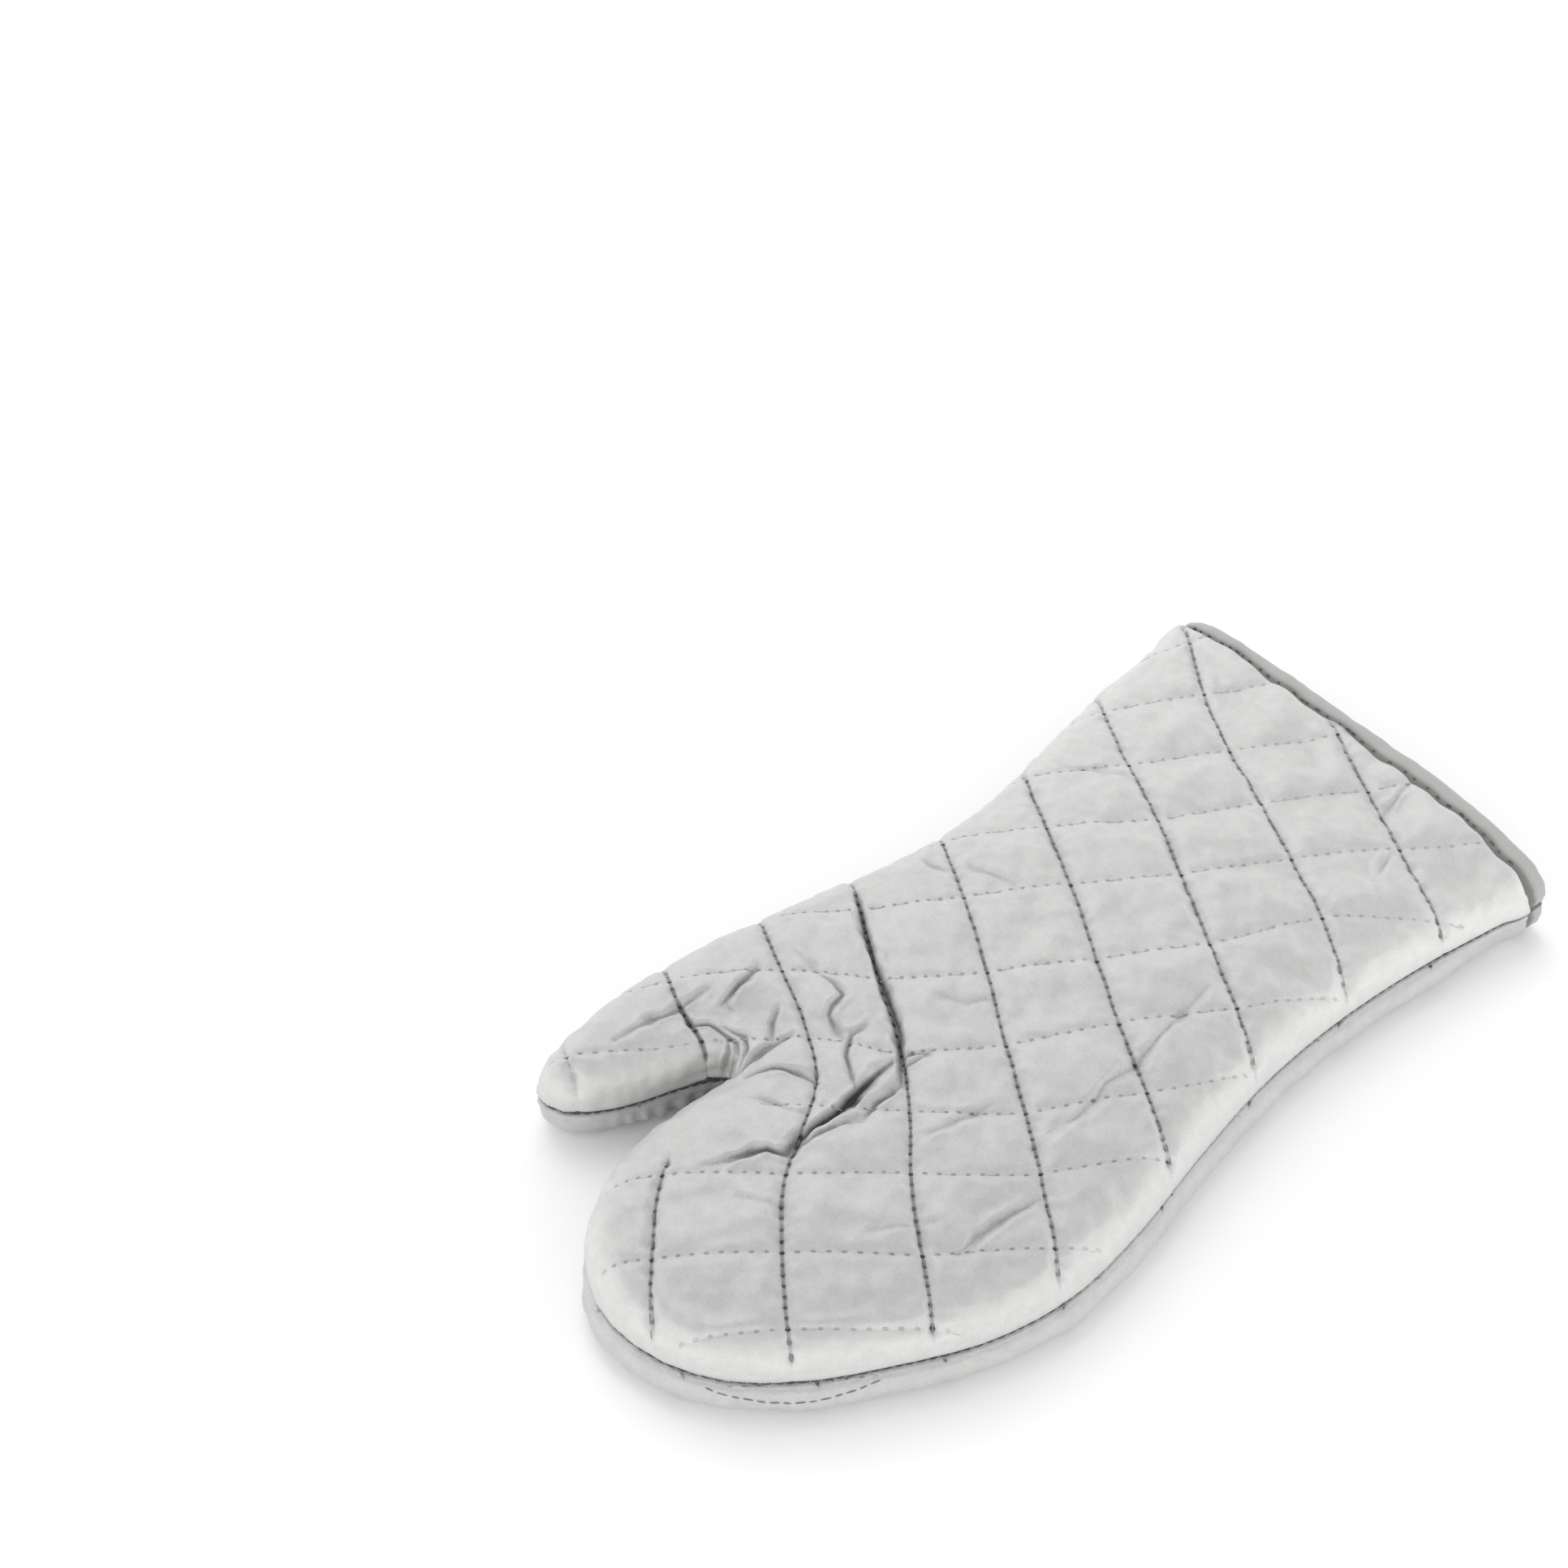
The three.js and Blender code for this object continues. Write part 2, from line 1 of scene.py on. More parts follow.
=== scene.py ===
# %% [markdown]
# # A silver-coated oven mitt
#
# The real mitt is two padded panels, a back and a palm, each of silver-coated cloth, wadding and a
# cotton lining quilted together. A side seam joins them and a bias tape binds the open cuff.
# The packed model already holds its sizes. This lesson gives each panel its puffed quilting, its
# folds and its stitches, and then the finishes, the light and the camera.

# %% Load the packed mitt
import math

import bmesh
import bpy
import numpy as np
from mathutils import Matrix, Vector
from mathutils.bvhtree import BVHTree
from mathutils.kdtree import KDTree


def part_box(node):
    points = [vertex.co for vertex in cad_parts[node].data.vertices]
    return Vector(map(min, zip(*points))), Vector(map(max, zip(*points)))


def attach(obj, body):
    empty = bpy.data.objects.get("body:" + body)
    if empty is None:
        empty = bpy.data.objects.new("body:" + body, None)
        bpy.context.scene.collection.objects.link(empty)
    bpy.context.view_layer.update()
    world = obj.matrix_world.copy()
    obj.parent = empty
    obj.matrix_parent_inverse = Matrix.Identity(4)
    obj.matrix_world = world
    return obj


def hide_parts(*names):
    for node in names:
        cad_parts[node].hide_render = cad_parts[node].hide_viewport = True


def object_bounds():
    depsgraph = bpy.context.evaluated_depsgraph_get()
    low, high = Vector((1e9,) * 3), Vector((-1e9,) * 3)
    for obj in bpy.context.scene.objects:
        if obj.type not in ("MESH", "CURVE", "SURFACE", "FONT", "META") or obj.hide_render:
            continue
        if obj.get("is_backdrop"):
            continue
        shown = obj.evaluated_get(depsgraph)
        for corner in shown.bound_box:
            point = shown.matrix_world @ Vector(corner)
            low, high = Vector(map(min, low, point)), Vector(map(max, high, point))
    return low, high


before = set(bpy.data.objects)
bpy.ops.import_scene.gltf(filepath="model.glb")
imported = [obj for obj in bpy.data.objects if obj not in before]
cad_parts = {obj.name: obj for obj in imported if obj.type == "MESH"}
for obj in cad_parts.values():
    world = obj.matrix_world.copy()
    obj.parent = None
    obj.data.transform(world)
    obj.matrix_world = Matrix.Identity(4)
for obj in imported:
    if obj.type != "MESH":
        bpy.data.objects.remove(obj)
CAD_BOX = [list(corner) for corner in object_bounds()]
bpy.ops.object.select_all(action="DESELECT")
print("the packed nodes:", sorted(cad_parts))

# %% [markdown]
# ## The sizes that the pieces share
#
# Blender works in metres, and sewing is easier to think of in millimetres, so the sizes below are
# millimetres and meshes are scaled where they are written. The seam lies level all round the mitt,
# halfway between the highest point of the palm panel and the lowest of the back panel.

# %% Shared sizes
MM = 0.001
SEAM_HEIGHT = (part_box("palm_panel")[1].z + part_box("back_panel")[0].z) / 2 / MM
# From the cuff's end to the line where the tape begins.
HEM = 9
print(f"the seam lies {SEAM_HEIGHT:.1f} mm above the floor")

# %% [markdown]
# ## The camera
#
# The photograph looks down on the mitt from beside its fingertips. The camera's place and lens
# were found by laying the packed outline over the photograph, so it is set by plain numbers.

# %% Camera
CAMERA_PLACE = (387.6, -388.05, 689.0)
CAMERA_AIM = (-130.2, 11.15, 0)
LENS = 63.354

bpy.ops.object.camera_add(location=Vector(CAMERA_PLACE) * MM)
camera = bpy.context.object
camera.name = "photo_camera"
camera.data.lens = LENS
camera.data.sensor_width = 36
camera.data.clip_start = 0.01
look = Vector(CAMERA_AIM) - Vector(CAMERA_PLACE)
camera.rotation_mode = "QUATERNION"
camera.rotation_quaternion = look.to_track_quat("-Z", "Y")
bpy.context.scene.camera = camera
print(f"the camera stands {look.length:.0f} mm from the point that it looks at")

# %% [markdown]
# ## Shader maths in plain Python
#
# A pattern such as a row of needle holes is arithmetic on the place of each point. Blender does
# it with Math nodes, which are long-winded to make one by one. `Value` wraps one socket, so that
# an expression such as `1 - hole * 0.6` adds the nodes itself. Every other node comes from one
# method, `add`, which takes the node's type, its settings and its sockets.

# %% A socket that Python can calculate with
class Value:
    """A number that changes over a surface: one output socket that the operators work on."""

    def __init__(self, nodes, socket):
        self.nodes = nodes
        self.socket = socket

    def maths(self, operation, *numbers):
        """A Math node on some values or plain numbers, as a new value."""
        settings = {"operation": operation}
        return self.nodes.add("ShaderNodeMath", settings, dict(enumerate(numbers)))

    def __add__(self, other):
        return self.maths("ADD", self, other)

    def __sub__(self, other):
        return self.maths("SUBTRACT", self, other)

    def __rsub__(self, first):
        return self.maths("SUBTRACT", first, self)

    def __mul__(self, other):
        return self.maths("MULTIPLY", self, other)

    def __pow__(self, power):
        return self.maths("POWER", self, power)

    def __abs__(self):
        return self.maths("ABSOLUTE", self)

    __radd__ = __add__
    __rmul__ = __mul__

    def away_from_whole(self):
        """How far this value is from the nearest whole number."""
        return abs(self - self.maths("ROUND", self))

    def below(self, limit, softness):
        """1 where this value is under limit, 0 above it, with a soft step between."""
        inputs = {
            "Value": self, "From Min": limit - softness, "From Max": limit + softness,
            "To Min": 1.0, "To Max": 0.0,
        }
        return self.nodes.add("ShaderNodeMapRange", {"interpolation_type": "SMOOTHSTEP"}, inputs)


# %% Node trees and materials
class Nodes:
    """The node tree of a material or a sky, with one method that adds every kind of node."""

    def __init__(self, owner, last):
        owner.use_nodes = True
        self.tree = owner.node_tree
        self.last = self.tree.nodes[last]

    def fill(self, socket, value):
        """Links a value to a socket, or sets a plain number or colour on it."""
        if isinstance(value, Value):
            self.tree.links.new(value.socket, socket)
        else:
            socket.default_value = value

    def set(self, **sockets):
        """Feeds sockets of the last node. An underscore stands for a space in a name."""
        for name, value in sockets.items():
            self.fill(self.last.inputs[name.replace("_", " ")], value)

    def add(self, kind, settings=None, inputs=None, output=0):
        """Adds a node. Its settings come first, because they decide which sockets it has."""
        node = self.tree.nodes.new(kind)
        for name, value in (settings or {}).items():
            if name == "stops":
                while len(node.color_ramp.elements) < len(value):
                    node.color_ramp.elements.new(1)
                for stop, (position, colour) in zip(node.color_ramp.elements, value):
                    stop.position = position
                    stop.color = (*colour, 1)
            else:
                setattr(node, name, value)
        for name, value in (inputs or {}).items():
            self.fill(node.inputs[name], value)
        return Value(self, node.outputs[output])

    def part(self, vector, axis):
        """One of the three parts of a vector."""
        return self.add("ShaderNodeSeparateXYZ", {}, {"Vector": vector}, output=axis)

    def ramp(self, share, stops):
        """The colour that stops, pairs of a position and a colour, give at share."""
        return self.add("ShaderNodeValToRGB", {"stops": stops}, {"Fac": share})


class Finish(Nodes):
    """A material on one Principled shader."""

    def __init__(self, name, **sockets):
        self.material = bpy.data.materials.new(name)
        super().__init__(self.material, "Principled BSDF")
        self.set(**sockets)

    def attribute(self, name):
        """A number that is kept on each point of the piece."""
        return self.add("ShaderNodeAttribute", {"attribute_name": name}, output="Fac")

    def speckle(self, size, detail=3.0, stretch=(1, 1, 1)):
        """Soft noise from 0 to 1 whose spots are about size millimetres across."""
        place = self.add("ShaderNodeTexCoord", output="Object")
        scaled = self.add("ShaderNodeMapping", {}, {"Vector": place, "Scale": stretch})
        inputs = {"Vector": scaled, "Scale": 1 / (size * MM), "Detail": detail}
        return self.add("ShaderNodeTexNoise", {}, inputs)

    def tint(self, share, *colours):
        """A colour that goes evenly through the given ones, as share goes from 0 to 1."""
        last = len(colours) - 1
        return self.ramp(share, [(index / last, colour) for index, colour in enumerate(colours)])

    def relief(self, height, depth):
        """A bump from a height that runs from 0 to 1 and stands for depth millimetres."""
        inputs = {"Height": height, "Distance": depth * MM, "Strength": 1.0}
        self.set(Normal=self.add("ShaderNodeBump", {}, inputs))


print("the maths class can do:", [name for name in vars(Value) if name.startswith("__r")])

# %% [markdown]
# ## The quilting as a map
#
# Two families of lines are sewn through each panel. The crisp lines run across the mitt and the
# faint ones slant along it. On a flat cloth they would be a plain lattice, but the sewing wanders,
# and the folds at the root of the thumb drag the lines with them. So each point of the mitt gets
# two coordinates, as on a street map: a whole number on the first means that the point lies on a
# crisp line, and a whole number on the second means a faint line.
#
# The map is the plain lattice plus a smooth correction, worked out so that the crossings in the
# table, seen in the photograph, come out at their whole numbers.

# %% The lattice and the crossings that pull it
LATTICE_ORIGIN = np.array((20.3, -1.25))
LATTICE_PLACE = np.array((5.5, 6.0))
CRISP_STEP = np.array((19.96, 30.64))
FAINT_STEP = np.array((23.9, -12.61))
# How far a crossing's pull is rounded off, and how far the map may miss it to stay smooth.
PULL = {"reach": 12, "softness": 1.5}
SEARCH = {"rounds": 25, "share": 0.7}

# Crossings of the sewn lines: crisp line, faint line, x, y. A dash means that only one is known.
CROSSINGS = """
2 8 -6 -130, 2 9 16 -149, 3 8 17 -102, 3 9 38 -119, 3 10 57 -132, 4 5 -23 -35, 4 6 4 -48,
4 8 39 -73, 4 9 63 -88, 4 10 80 -98, 5 4 -33 8, 5 5 -4 -7, 5 6 21 -21, 5 7 44 -33, 5 8 62 -43,
5 9 83 -55, 6 3 -40 49, 6 4 -16 38, 6 5 13 23, 6 6 35 12, 6 7 59 2, 6 8 79 -6, 7 2 -45 90,
7 3 -20 80, 7 4 2 69, 7 5 29 56, 7 6 52 46, 7 7 70 38, 8 1 -56 135, 8 2 -30 122, 8 3 -6 113,
8 4 18 103, 8 5 41 94, 8 6 66 81, 9 3 11 144, 9 4 35 134, 9 5 63 125, 9 - -20 157, 8 - -82 152,
7 - -70 102, 6 - -60 59, 5 - -56 19, 4 - -56 -17, 3 - -60 -50, 3 - -4 -74, 3 - 10 -92,
3 - 63 -135, 2 - -63 -85, 2 - -53 -89, 2 - -41 -90, 2 - -36 -90, 2 - 27 -158, 1 - -57 -128,
1 - -40 -133, - 10 43 -153, - 10 50 -143, - 10 68 -117, - 9 74 -68, - 8 70 -24, - 7 67 23,
- 6 60 66, - 2 -13 152, - 6 -44 -101, - 6 -42 -94, - 6 -38 -86, - 6 -32 -79, - 6 -26 -74,
3 6 -19 -65, - 5 -62 -81, - 5 -58 -73, - 5 -52 -65
"""

CELL_AREA = abs(CRISP_STEP[0] * FAINT_STEP[1] - CRISP_STEP[1] * FAINT_STEP[0])
CRISP_SPACING = float(CELL_AREA / np.linalg.norm(FAINT_STEP))
FAINT_SPACING = float(CELL_AREA / np.linalg.norm(CRISP_STEP))


def lattice_place(plan):
    """The plain lattice's two coordinates of points in plan."""
    return (plan - LATTICE_ORIGIN) @ np.linalg.inv([CRISP_STEP, FAINT_STEP]) + LATTICE_PLACE


def pull_terms(plan, centres):
    """What the correction is a sum of: a rounded cone on each centre, and a level slope."""
    cones = np.hypot(np.linalg.norm(plan[:, None] - centres, axis=2), PULL["reach"])
    return cones, np.c_[plan / 100, np.ones(len(plan))]


def pull_of(family):
    """The centres and weights of the correction to one of the two coordinates."""
    rows = [row.split() for row in CROSSINGS.replace("\n", " ").split(",")]
    known = [row for row in rows if row[family] != "-"]
    centres = np.array([row[2:] for row in known], float)
    wanted = np.array([row[family] for row in known], float)
    cones, slope = pull_terms(centres, centres)
    cones -= PULL["softness"] * np.eye(len(centres))
    system = np.block([[cones, slope], [slope.T, np.zeros((3, 3))]])
    error = wanted - lattice_place(centres)[:, family]
    return centres, np.linalg.solve(system, np.r_[error, 0, 0, 0])


PULLS = [pull_of(0), pull_of(1)]


def quilt_place(plan, sign=1):
    """The two quilting coordinates of points in plan. The palm, sign -1, has no correction."""
    place = lattice_place(plan)
    for family, (centres, weights) in enumerate(PULLS if sign > 0 else []):
        cones, slope = pull_terms(plan, centres)
        place[:, family] += cones @ weights[:-3] + slope @ weights[-3:]
    return place


def quilt_point(place, sign):
    """The points in plan of pairs of quilting coordinates, found by closing in on them."""
    plan = (place - LATTICE_PLACE) @ [CRISP_STEP, FAINT_STEP] + LATTICE_ORIGIN
    for _ in range(SEARCH["rounds"] if sign > 0 else 0):
        error = (place - quilt_place(plan)) @ [CRISP_STEP, FAINT_STEP]
        plan = plan + SEARCH["share"] * error
    return plan


def from_lines(place):
    """How far each point is from its nearest line of each family, in millimetres."""
    return np.abs(place - place.round()) * (CRISP_SPACING, FAINT_SPACING)


test = quilt_place(np.array([[21.0, -21.0], [62.0, -135.0]]))
print("crisp lines", round(CRISP_SPACING, 1), "mm apart, faint ones", round(FAINT_SPACING, 1))
print("two crossings of the table come out at", test.round(2).tolist())

# %% [markdown]
# ## The side seam as a path
#
# Many details follow the side seam: the puckers beside it, its thread, and the place where the
# quilting stops. The packed panel's lower outer edge is that seam. It is found by its faces: the
# outer wall leans out over the seam, while the lining's wall stands nearly upright.

# %% The seam path, from one side of the cuff round to the other
LEVEL = 0.05
# The Z part of a normal: more than FLAT on a level face, more than LEANING on the outer wall.
FLAT = 0.97
LEANING = 0.25


def seam_path(node, height):
    """The seam of a panel in plan, one point a millimetre, in order from cuff to cuff."""
    shape = bmesh.new()
    shape.from_mesh(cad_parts[node].data)
    bmesh.ops.remove_doubles(shape, verts=shape.verts, dist=1e-6)
    near = {}
    for edge in shape.edges:
        level = all(abs(v.co.z / MM - height) < LEVEL for v in edge.verts)
        leans = [abs(face.normal.z) for face in edge.link_faces]
        if level and LEANING < min(leans) < FLAT < max(leans):
            for one, other in (edge.verts, reversed(edge.verts)):
                near.setdefault(one.index, []).append(other.index)
    shape.verts.ensure_lookup_table()
    start = max((i for i in near if len(near[i]) == 1), key=lambda i: shape.verts[i].co.y)
    order = [start]
    while True:
        onward = [i for i in near[order[-1]] if i not in order[-2:]]
        if not onward:
            break
        order.append(onward[0])
    corners = np.array([shape.verts[i].co.xy for i in order]) / MM
    shape.free()
    reach = np.r_[0, np.cumsum(np.linalg.norm(np.diff(corners, axis=0), axis=1))]
    steps = np.arange(0, reach[-1], 1.0)
    return np.c_[np.interp(steps, reach, corners[:, 0]), np.interp(steps, reach, corners[:, 1])]


SEAM = seam_path("back_panel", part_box("back_panel")[0].z / MM)
SEAM_LENGTH = len(SEAM)
print(f"the side seam is {SEAM_LENGTH} mm long, from {SEAM[0].round()} to {SEAM[-1].round()}")

# %% Distances from the seam
SEAM_RUN = np.gradient(SEAM, axis=0)
SEAM_RUN /= np.linalg.norm(SEAM_RUN, axis=1)[:, None]
SEAM_INWARD = np.c_[-SEAM_RUN[:, 1], SEAM_RUN[:, 0]]
PALM_MIDDLE = np.array((10.0, 0.0))
if (SEAM_INWARD * (PALM_MIDDLE - SEAM)).sum() < 0:
    SEAM_INWARD = -SEAM_INWARD
SEAM_TREE = KDTree(SEAM_LENGTH)
for number, (x, y) in enumerate(SEAM):
    SEAM_TREE.insert((x, y, 0), number)
SEAM_TREE.balance()


def seam_place(plan):
    """How far inside the seam each point lies, and how far along the seam its nearest point is."""
    nearest = np.array([SEAM_TREE.find((x, y, 0))[1] for x, y in plan.tolist()])
    gap = plan - SEAM[nearest]
    side = np.sign((gap * SEAM_INWARD[nearest]).sum(1))
    inset = side * np.linalg.norm(gap, axis=1)
    return inset, nearest + (gap * SEAM_RUN[nearest]).sum(1)


def seam_inward(reach):
    """The directions into the mitt at some lengths along the seam."""
    return SEAM_INWARD[np.clip(reach.round().astype(int), 0, SEAM_LENGTH - 1)]


print("the palm's middle is", seam_place(np.array([[30.0, -20.0]]))[0].round(1), "mm inside it")

# %% The hem, where the cuff binding begins
def hem_line(node):
    """The slant and place of a panel's cuff end in plan, from the flat faces that close it."""
    shape = bmesh.new()
    shape.from_mesh(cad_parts[node].data)
    end = max(v.co.y for v in shape.verts) - 2 * HEM * MM
    flat = [f for f in shape.faces if f.normal.y > FLAT and f.calc_center_median().y > end]
    ends = [v.co.xy / MM for face in flat for v in face.verts]
    shape.free()
    slant, place = np.polyfit(*np.array(ends).T, 1)
    return slant, place


CUFF_SLANT, CUFF_PLACE = hem_line("back_panel")


def before_hem(plan):
    """How far each point lies before the hem, towards the fingers."""
    return CUFF_PLACE + CUFF_SLANT * plan[:, 0] - HEM - plan[:, 1]


print(f"the cuff slants {CUFF_SLANT * 100:.1f} mm in 100 mm and ends at y {CUFF_PLACE:.1f} mm")

# %% [markdown]
# ## A working copy of each panel
#
# A panel's packed mesh has few, uneven triangles. A voxel remesh turns a copy of it into an even
# net of small squares, which cloth simulation and fine relief both need. Only the outer face
# needs the finest net, so that face alone is subdivided later, and the hidden lining stays coarse.

# %% Tools for meshes
def read(rows, field, width=3, kind=float):
    """One field of all of a mesh's vertices, edges or corners, as rows of width numbers."""
    values = np.empty(len(rows) * width, kind)
    rows.foreach_get(field, values)
    return values.reshape(-1, width)


def read_points(piece):
    """The piece's vertices, in millimetres, and the directions that they face."""
    return read(piece.data.vertices, "co") / MM, read(piece.data.vertex_normals, "vector")


def read_edges(piece):
    """Pairs of vertices that share an edge."""
    return read(piece.data.edges, "vertices", 2, np.int32)


def write_points(piece, points):
    """Moves the piece's vertices to points, in millimetres."""
    piece.data.vertices.foreach_set("co", (points * MM).ravel())
    piece.data.update()


def keep_number(piece, name, values):
    """Keeps one number on each point of a piece, for its finish."""
    piece.data.attributes.new(name, "FLOAT", "POINT").data.foreach_set("value", values)


def select_only(piece):
    """Makes one piece the selected and active one."""
    bpy.ops.object.select_all(action="DESELECT")
    piece.select_set(True)
    bpy.context.view_layer.objects.active = piece


def edit(piece, *steps):
    """Runs operators, each with its settings, in edit mode on the whole of a piece."""
    select_only(piece)
    bpy.ops.object.mode_set(mode="EDIT")
    bpy.ops.mesh.select_all(action="SELECT")
    for operator, settings in steps:
        operator(**settings)
    bpy.ops.object.mode_set(mode="OBJECT")


def new_piece(name, mesh):
    """Puts a mesh into the scene as a piece."""
    piece = bpy.data.objects.new(name, mesh)
    bpy.context.collection.objects.link(piece)
    return piece


def merged_copy(node, name, *steps):
    """A copy of a packed node without its finish, its loose triangles joined, then edited."""
    piece = new_piece(name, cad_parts[node].data.copy())
    piece.data.materials.clear()
    edit(piece, (bpy.ops.mesh.remove_doubles, {"threshold": 1e-6}), *steps)
    return piece


def relax(values, edges, share, rounds):
    """Moves each value towards the mean of its neighbours, by share, for some rounds."""
    count = np.bincount(edges.ravel(), minlength=len(values))[:, None]
    share = np.broadcast_to(share, len(values))[:, None]
    for _ in range(rounds):
        sums = np.zeros_like(values)
        for one, other in ((0, 1), (1, 0)):
            for axis in range(values.shape[1]):
                pulled = values[edges[:, other], axis]
                sums[:, axis] += np.bincount(edges[:, one], pulled, len(values))
        values = values + share * (sums / count - values)
    return values


def smooth_step(value, low, high):
    """0 below low, 1 above high, and a soft step between."""
    share = np.clip((value - low) / (high - low), 0, 1)
    return share * share * (3 - 2 * share)


print("tools for reading, moving and cutting meshes")

# %% Remesh a panel
NET = {"voxel": 1.8, "rounds": 7, "broad_rounds": 32, "rim": (7, 15), "hem": (0, 10)}
WALL = {"inset": 4.4, "height": 0.6, "facing": 0.3}


def panel_place(points, sign):
    """How far inside the seam, how far along it and how far off its level each point lies."""
    inset, reach = seam_place(points[:, :2])
    return inset, reach, sign * (points[:, 2] - SEAM_HEIGHT)


def is_outer(points, normals, sign):
    """True where a point is on the panel's outer face: the wall by the seam or the broad face."""
    inset, _, height = panel_place(points, sign)
    wall = (inset < WALL["inset"]) & (height > WALL["height"])
    broad = (sign * normals[:, 2] > WALL["facing"]) & (inset >= WALL["inset"])
    return wall | broad


def working_copy(node, name):
    """An even net over a copy of a packed panel, with its coarse grooves smoothed away."""
    piece = merged_copy(node, name)
    net = piece.modifiers.new("even_net", "REMESH")
    net.mode = "VOXEL"
    net.voxel_size = NET["voxel"] * MM
    bpy.ops.object.modifier_apply(modifier=net.name)
    points, edges = read_points(piece)[0], read_edges(piece)
    broad = smooth_step(seam_place(points[:, :2])[0], *NET["rim"])
    broad *= smooth_step(before_hem(points[:, :2]), *NET["hem"])
    points = relax(points, edges, 0.5, NET["rounds"])
    points = relax(points, edges, 0.5 * broad, NET["broad_rounds"])
    write_points(piece, points)
    print(f"{name}: an even net of {len(points)} points")
    return piece


# Each panel's piece, and 1 for the back, which faces up, or -1 for the palm.
PANELS = {
    "back_panel": (working_copy("back_panel", "quilted_back"), 1),
    "palm_panel": (working_copy("palm_panel", "quilted_palm"), -1),
}

# %% [markdown]
# ## Puff the cells up by simulation
#
# Wadding pushes the cloth out wherever no thread holds it down, and the cloth, a little too large
# for its form, wrinkles towards the thread. Blender's cloth does just that: pressure from inside,
# no gravity, and the points beside the sewn lines, the seam and the hem pinned. The cells are
# small, so the cloth is light, and no point may move more than 2 mm.

# %% Cloth with the sewn lines pinned
CLOTH = {
    "mass": 0.0006, "quality": 5, "use_pressure": True, "uniform_pressure_force": 3.0,
    "shrink_min": -0.025,
}
FRAMES = 14
# No point moves more than most, and what is left is evened out for some rounds.
PUFFED = {"most": 1.8, "rounds": 4}
PINNED = {"line": 1.3, "rim": 3, "hem": 1}


def puff_up(piece, sign):
    """Inflates the outer face between its sewn lines, and applies what the simulation gives."""
    points, normals = read_points(piece)
    plan = points[:, :2]
    held = ~is_outer(points, normals, sign)
    held |= from_lines(quilt_place(plan, sign)).min(axis=1) < PINNED["line"]
    held |= seam_place(plan)[0] < PINNED["rim"]
    held |= before_hem(plan) < PINNED["hem"]
    pins = piece.vertex_groups.new(name="pins")
    pins.add(np.flatnonzero(held).tolist(), 1.0, "REPLACE")
    cloth = piece.modifiers.new("puff", "CLOTH")
    for setting, value in CLOTH.items():
        setattr(cloth.settings, setting, value)
    cloth.settings.vertex_group_mass = pins.name
    cloth.settings.effector_weights.gravity = 0
    cloth.collision_settings.use_collision = False
    cloth.point_cache.frame_start = 1
    cloth.point_cache.frame_end = FRAMES
    for number in range(1, FRAMES + 1):
        bpy.context.scene.frame_set(number)
    select_only(piece)
    bpy.ops.object.modifier_apply(modifier=cloth.name)
    bpy.context.scene.frame_set(1)
    piece.vertex_groups.clear()
    moved = read_points(piece)[0] - points
    length = np.linalg.norm(moved, axis=1)[:, None]
    moved *= np.minimum(1, PUFFED["most"] / np.maximum(length, 1e-6))
    moved[held] = 0
    moved = relax(moved, read_edges(piece), 0.5, PUFFED["rounds"])
    write_points(piece, points + moved)
    print(f"{piece.name}: puffed up by {length.mean():.2f} mm, {length.max():.1f} at most")


for piece, sign in PANELS.values():
    puff_up(piece, sign)

# %% Subdivide the outer face
def refine(piece, chosen, smoothness):
    """Cuts each face whose points are all chosen into four."""
    select_only(piece)
    bpy.ops.object.mode_set(mode="EDIT")
    bpy.ops.mesh.select_all(action="DESELECT")
    bpy.ops.object.mode_set(mode="OBJECT")
    for face in piece.data.polygons:
        face.select = all(chosen[i] for i in face.vertices)
    bpy.ops.object.mode_set(mode="EDIT")
    bpy.ops.mesh.select_mode(type="FACE")
    bpy.ops.mesh.subdivide(number_cuts=1, smoothness=smoothness)
    bpy.ops.object.mode_set(mode="OBJECT")
    print(f"{piece.name}: refined to {len(piece.data.polygons)} faces")


for piece, sign in PANELS.values():
    refine(piece, is_outer(*read_points(piece), sign), smoothness=0.9)

# %% [markdown]
# ## The relief of the quilted cloth
#
# Sewing pulls the cloth down along each line and lets the wadding puff up between them. The height
# of the outer face is worked out from the quilting map: a wide soft shoulder, a narrow valley at
# the thread, a dimple at each needle hole and small puckers that fade away from the line.

# %% Sewn lines
CRISP = {
    "depth": 1.2, "width": 5.0, "core": 1.2, "core_width": 0.8,
    "stitches": 7, "weight": 1.0, "numbers": range(2, 12),
}
FAINT = {
    "depth": 0.5, "width": 4.5, "core": 0.3, "core_width": 0.8,
    "stitches": 9, "weight": 0.55, "numbers": range(-2, 14),
}
DIMPLE = 0.25
PUCKER = {"share": 0.22, "reach": 3.5, "size": 5.0}
# The steps over which the lines end: inside the seam, before the hem and round the bare patch.
LINE_END = (-1.9, 0.5)
HEM_END = (-3.2, -2.0)
BARE_PLACE = np.array((-16.0, -108.0))
BARE_END = (16, 20)


def where_sewn(plan, sign):
    """1 where the lines are sewn, 0 past the rim, under the tape and on the bare patch."""
    sewn = smooth_step(seam_place(plan)[0], *LINE_END)
    sewn *= smooth_step(before_hem(plan), *HEM_END)
    if sign > 0:
        sewn *= smooth_step(np.linalg.norm(plan - BARE_PLACE, axis=1), *BARE_END)
    return sewn


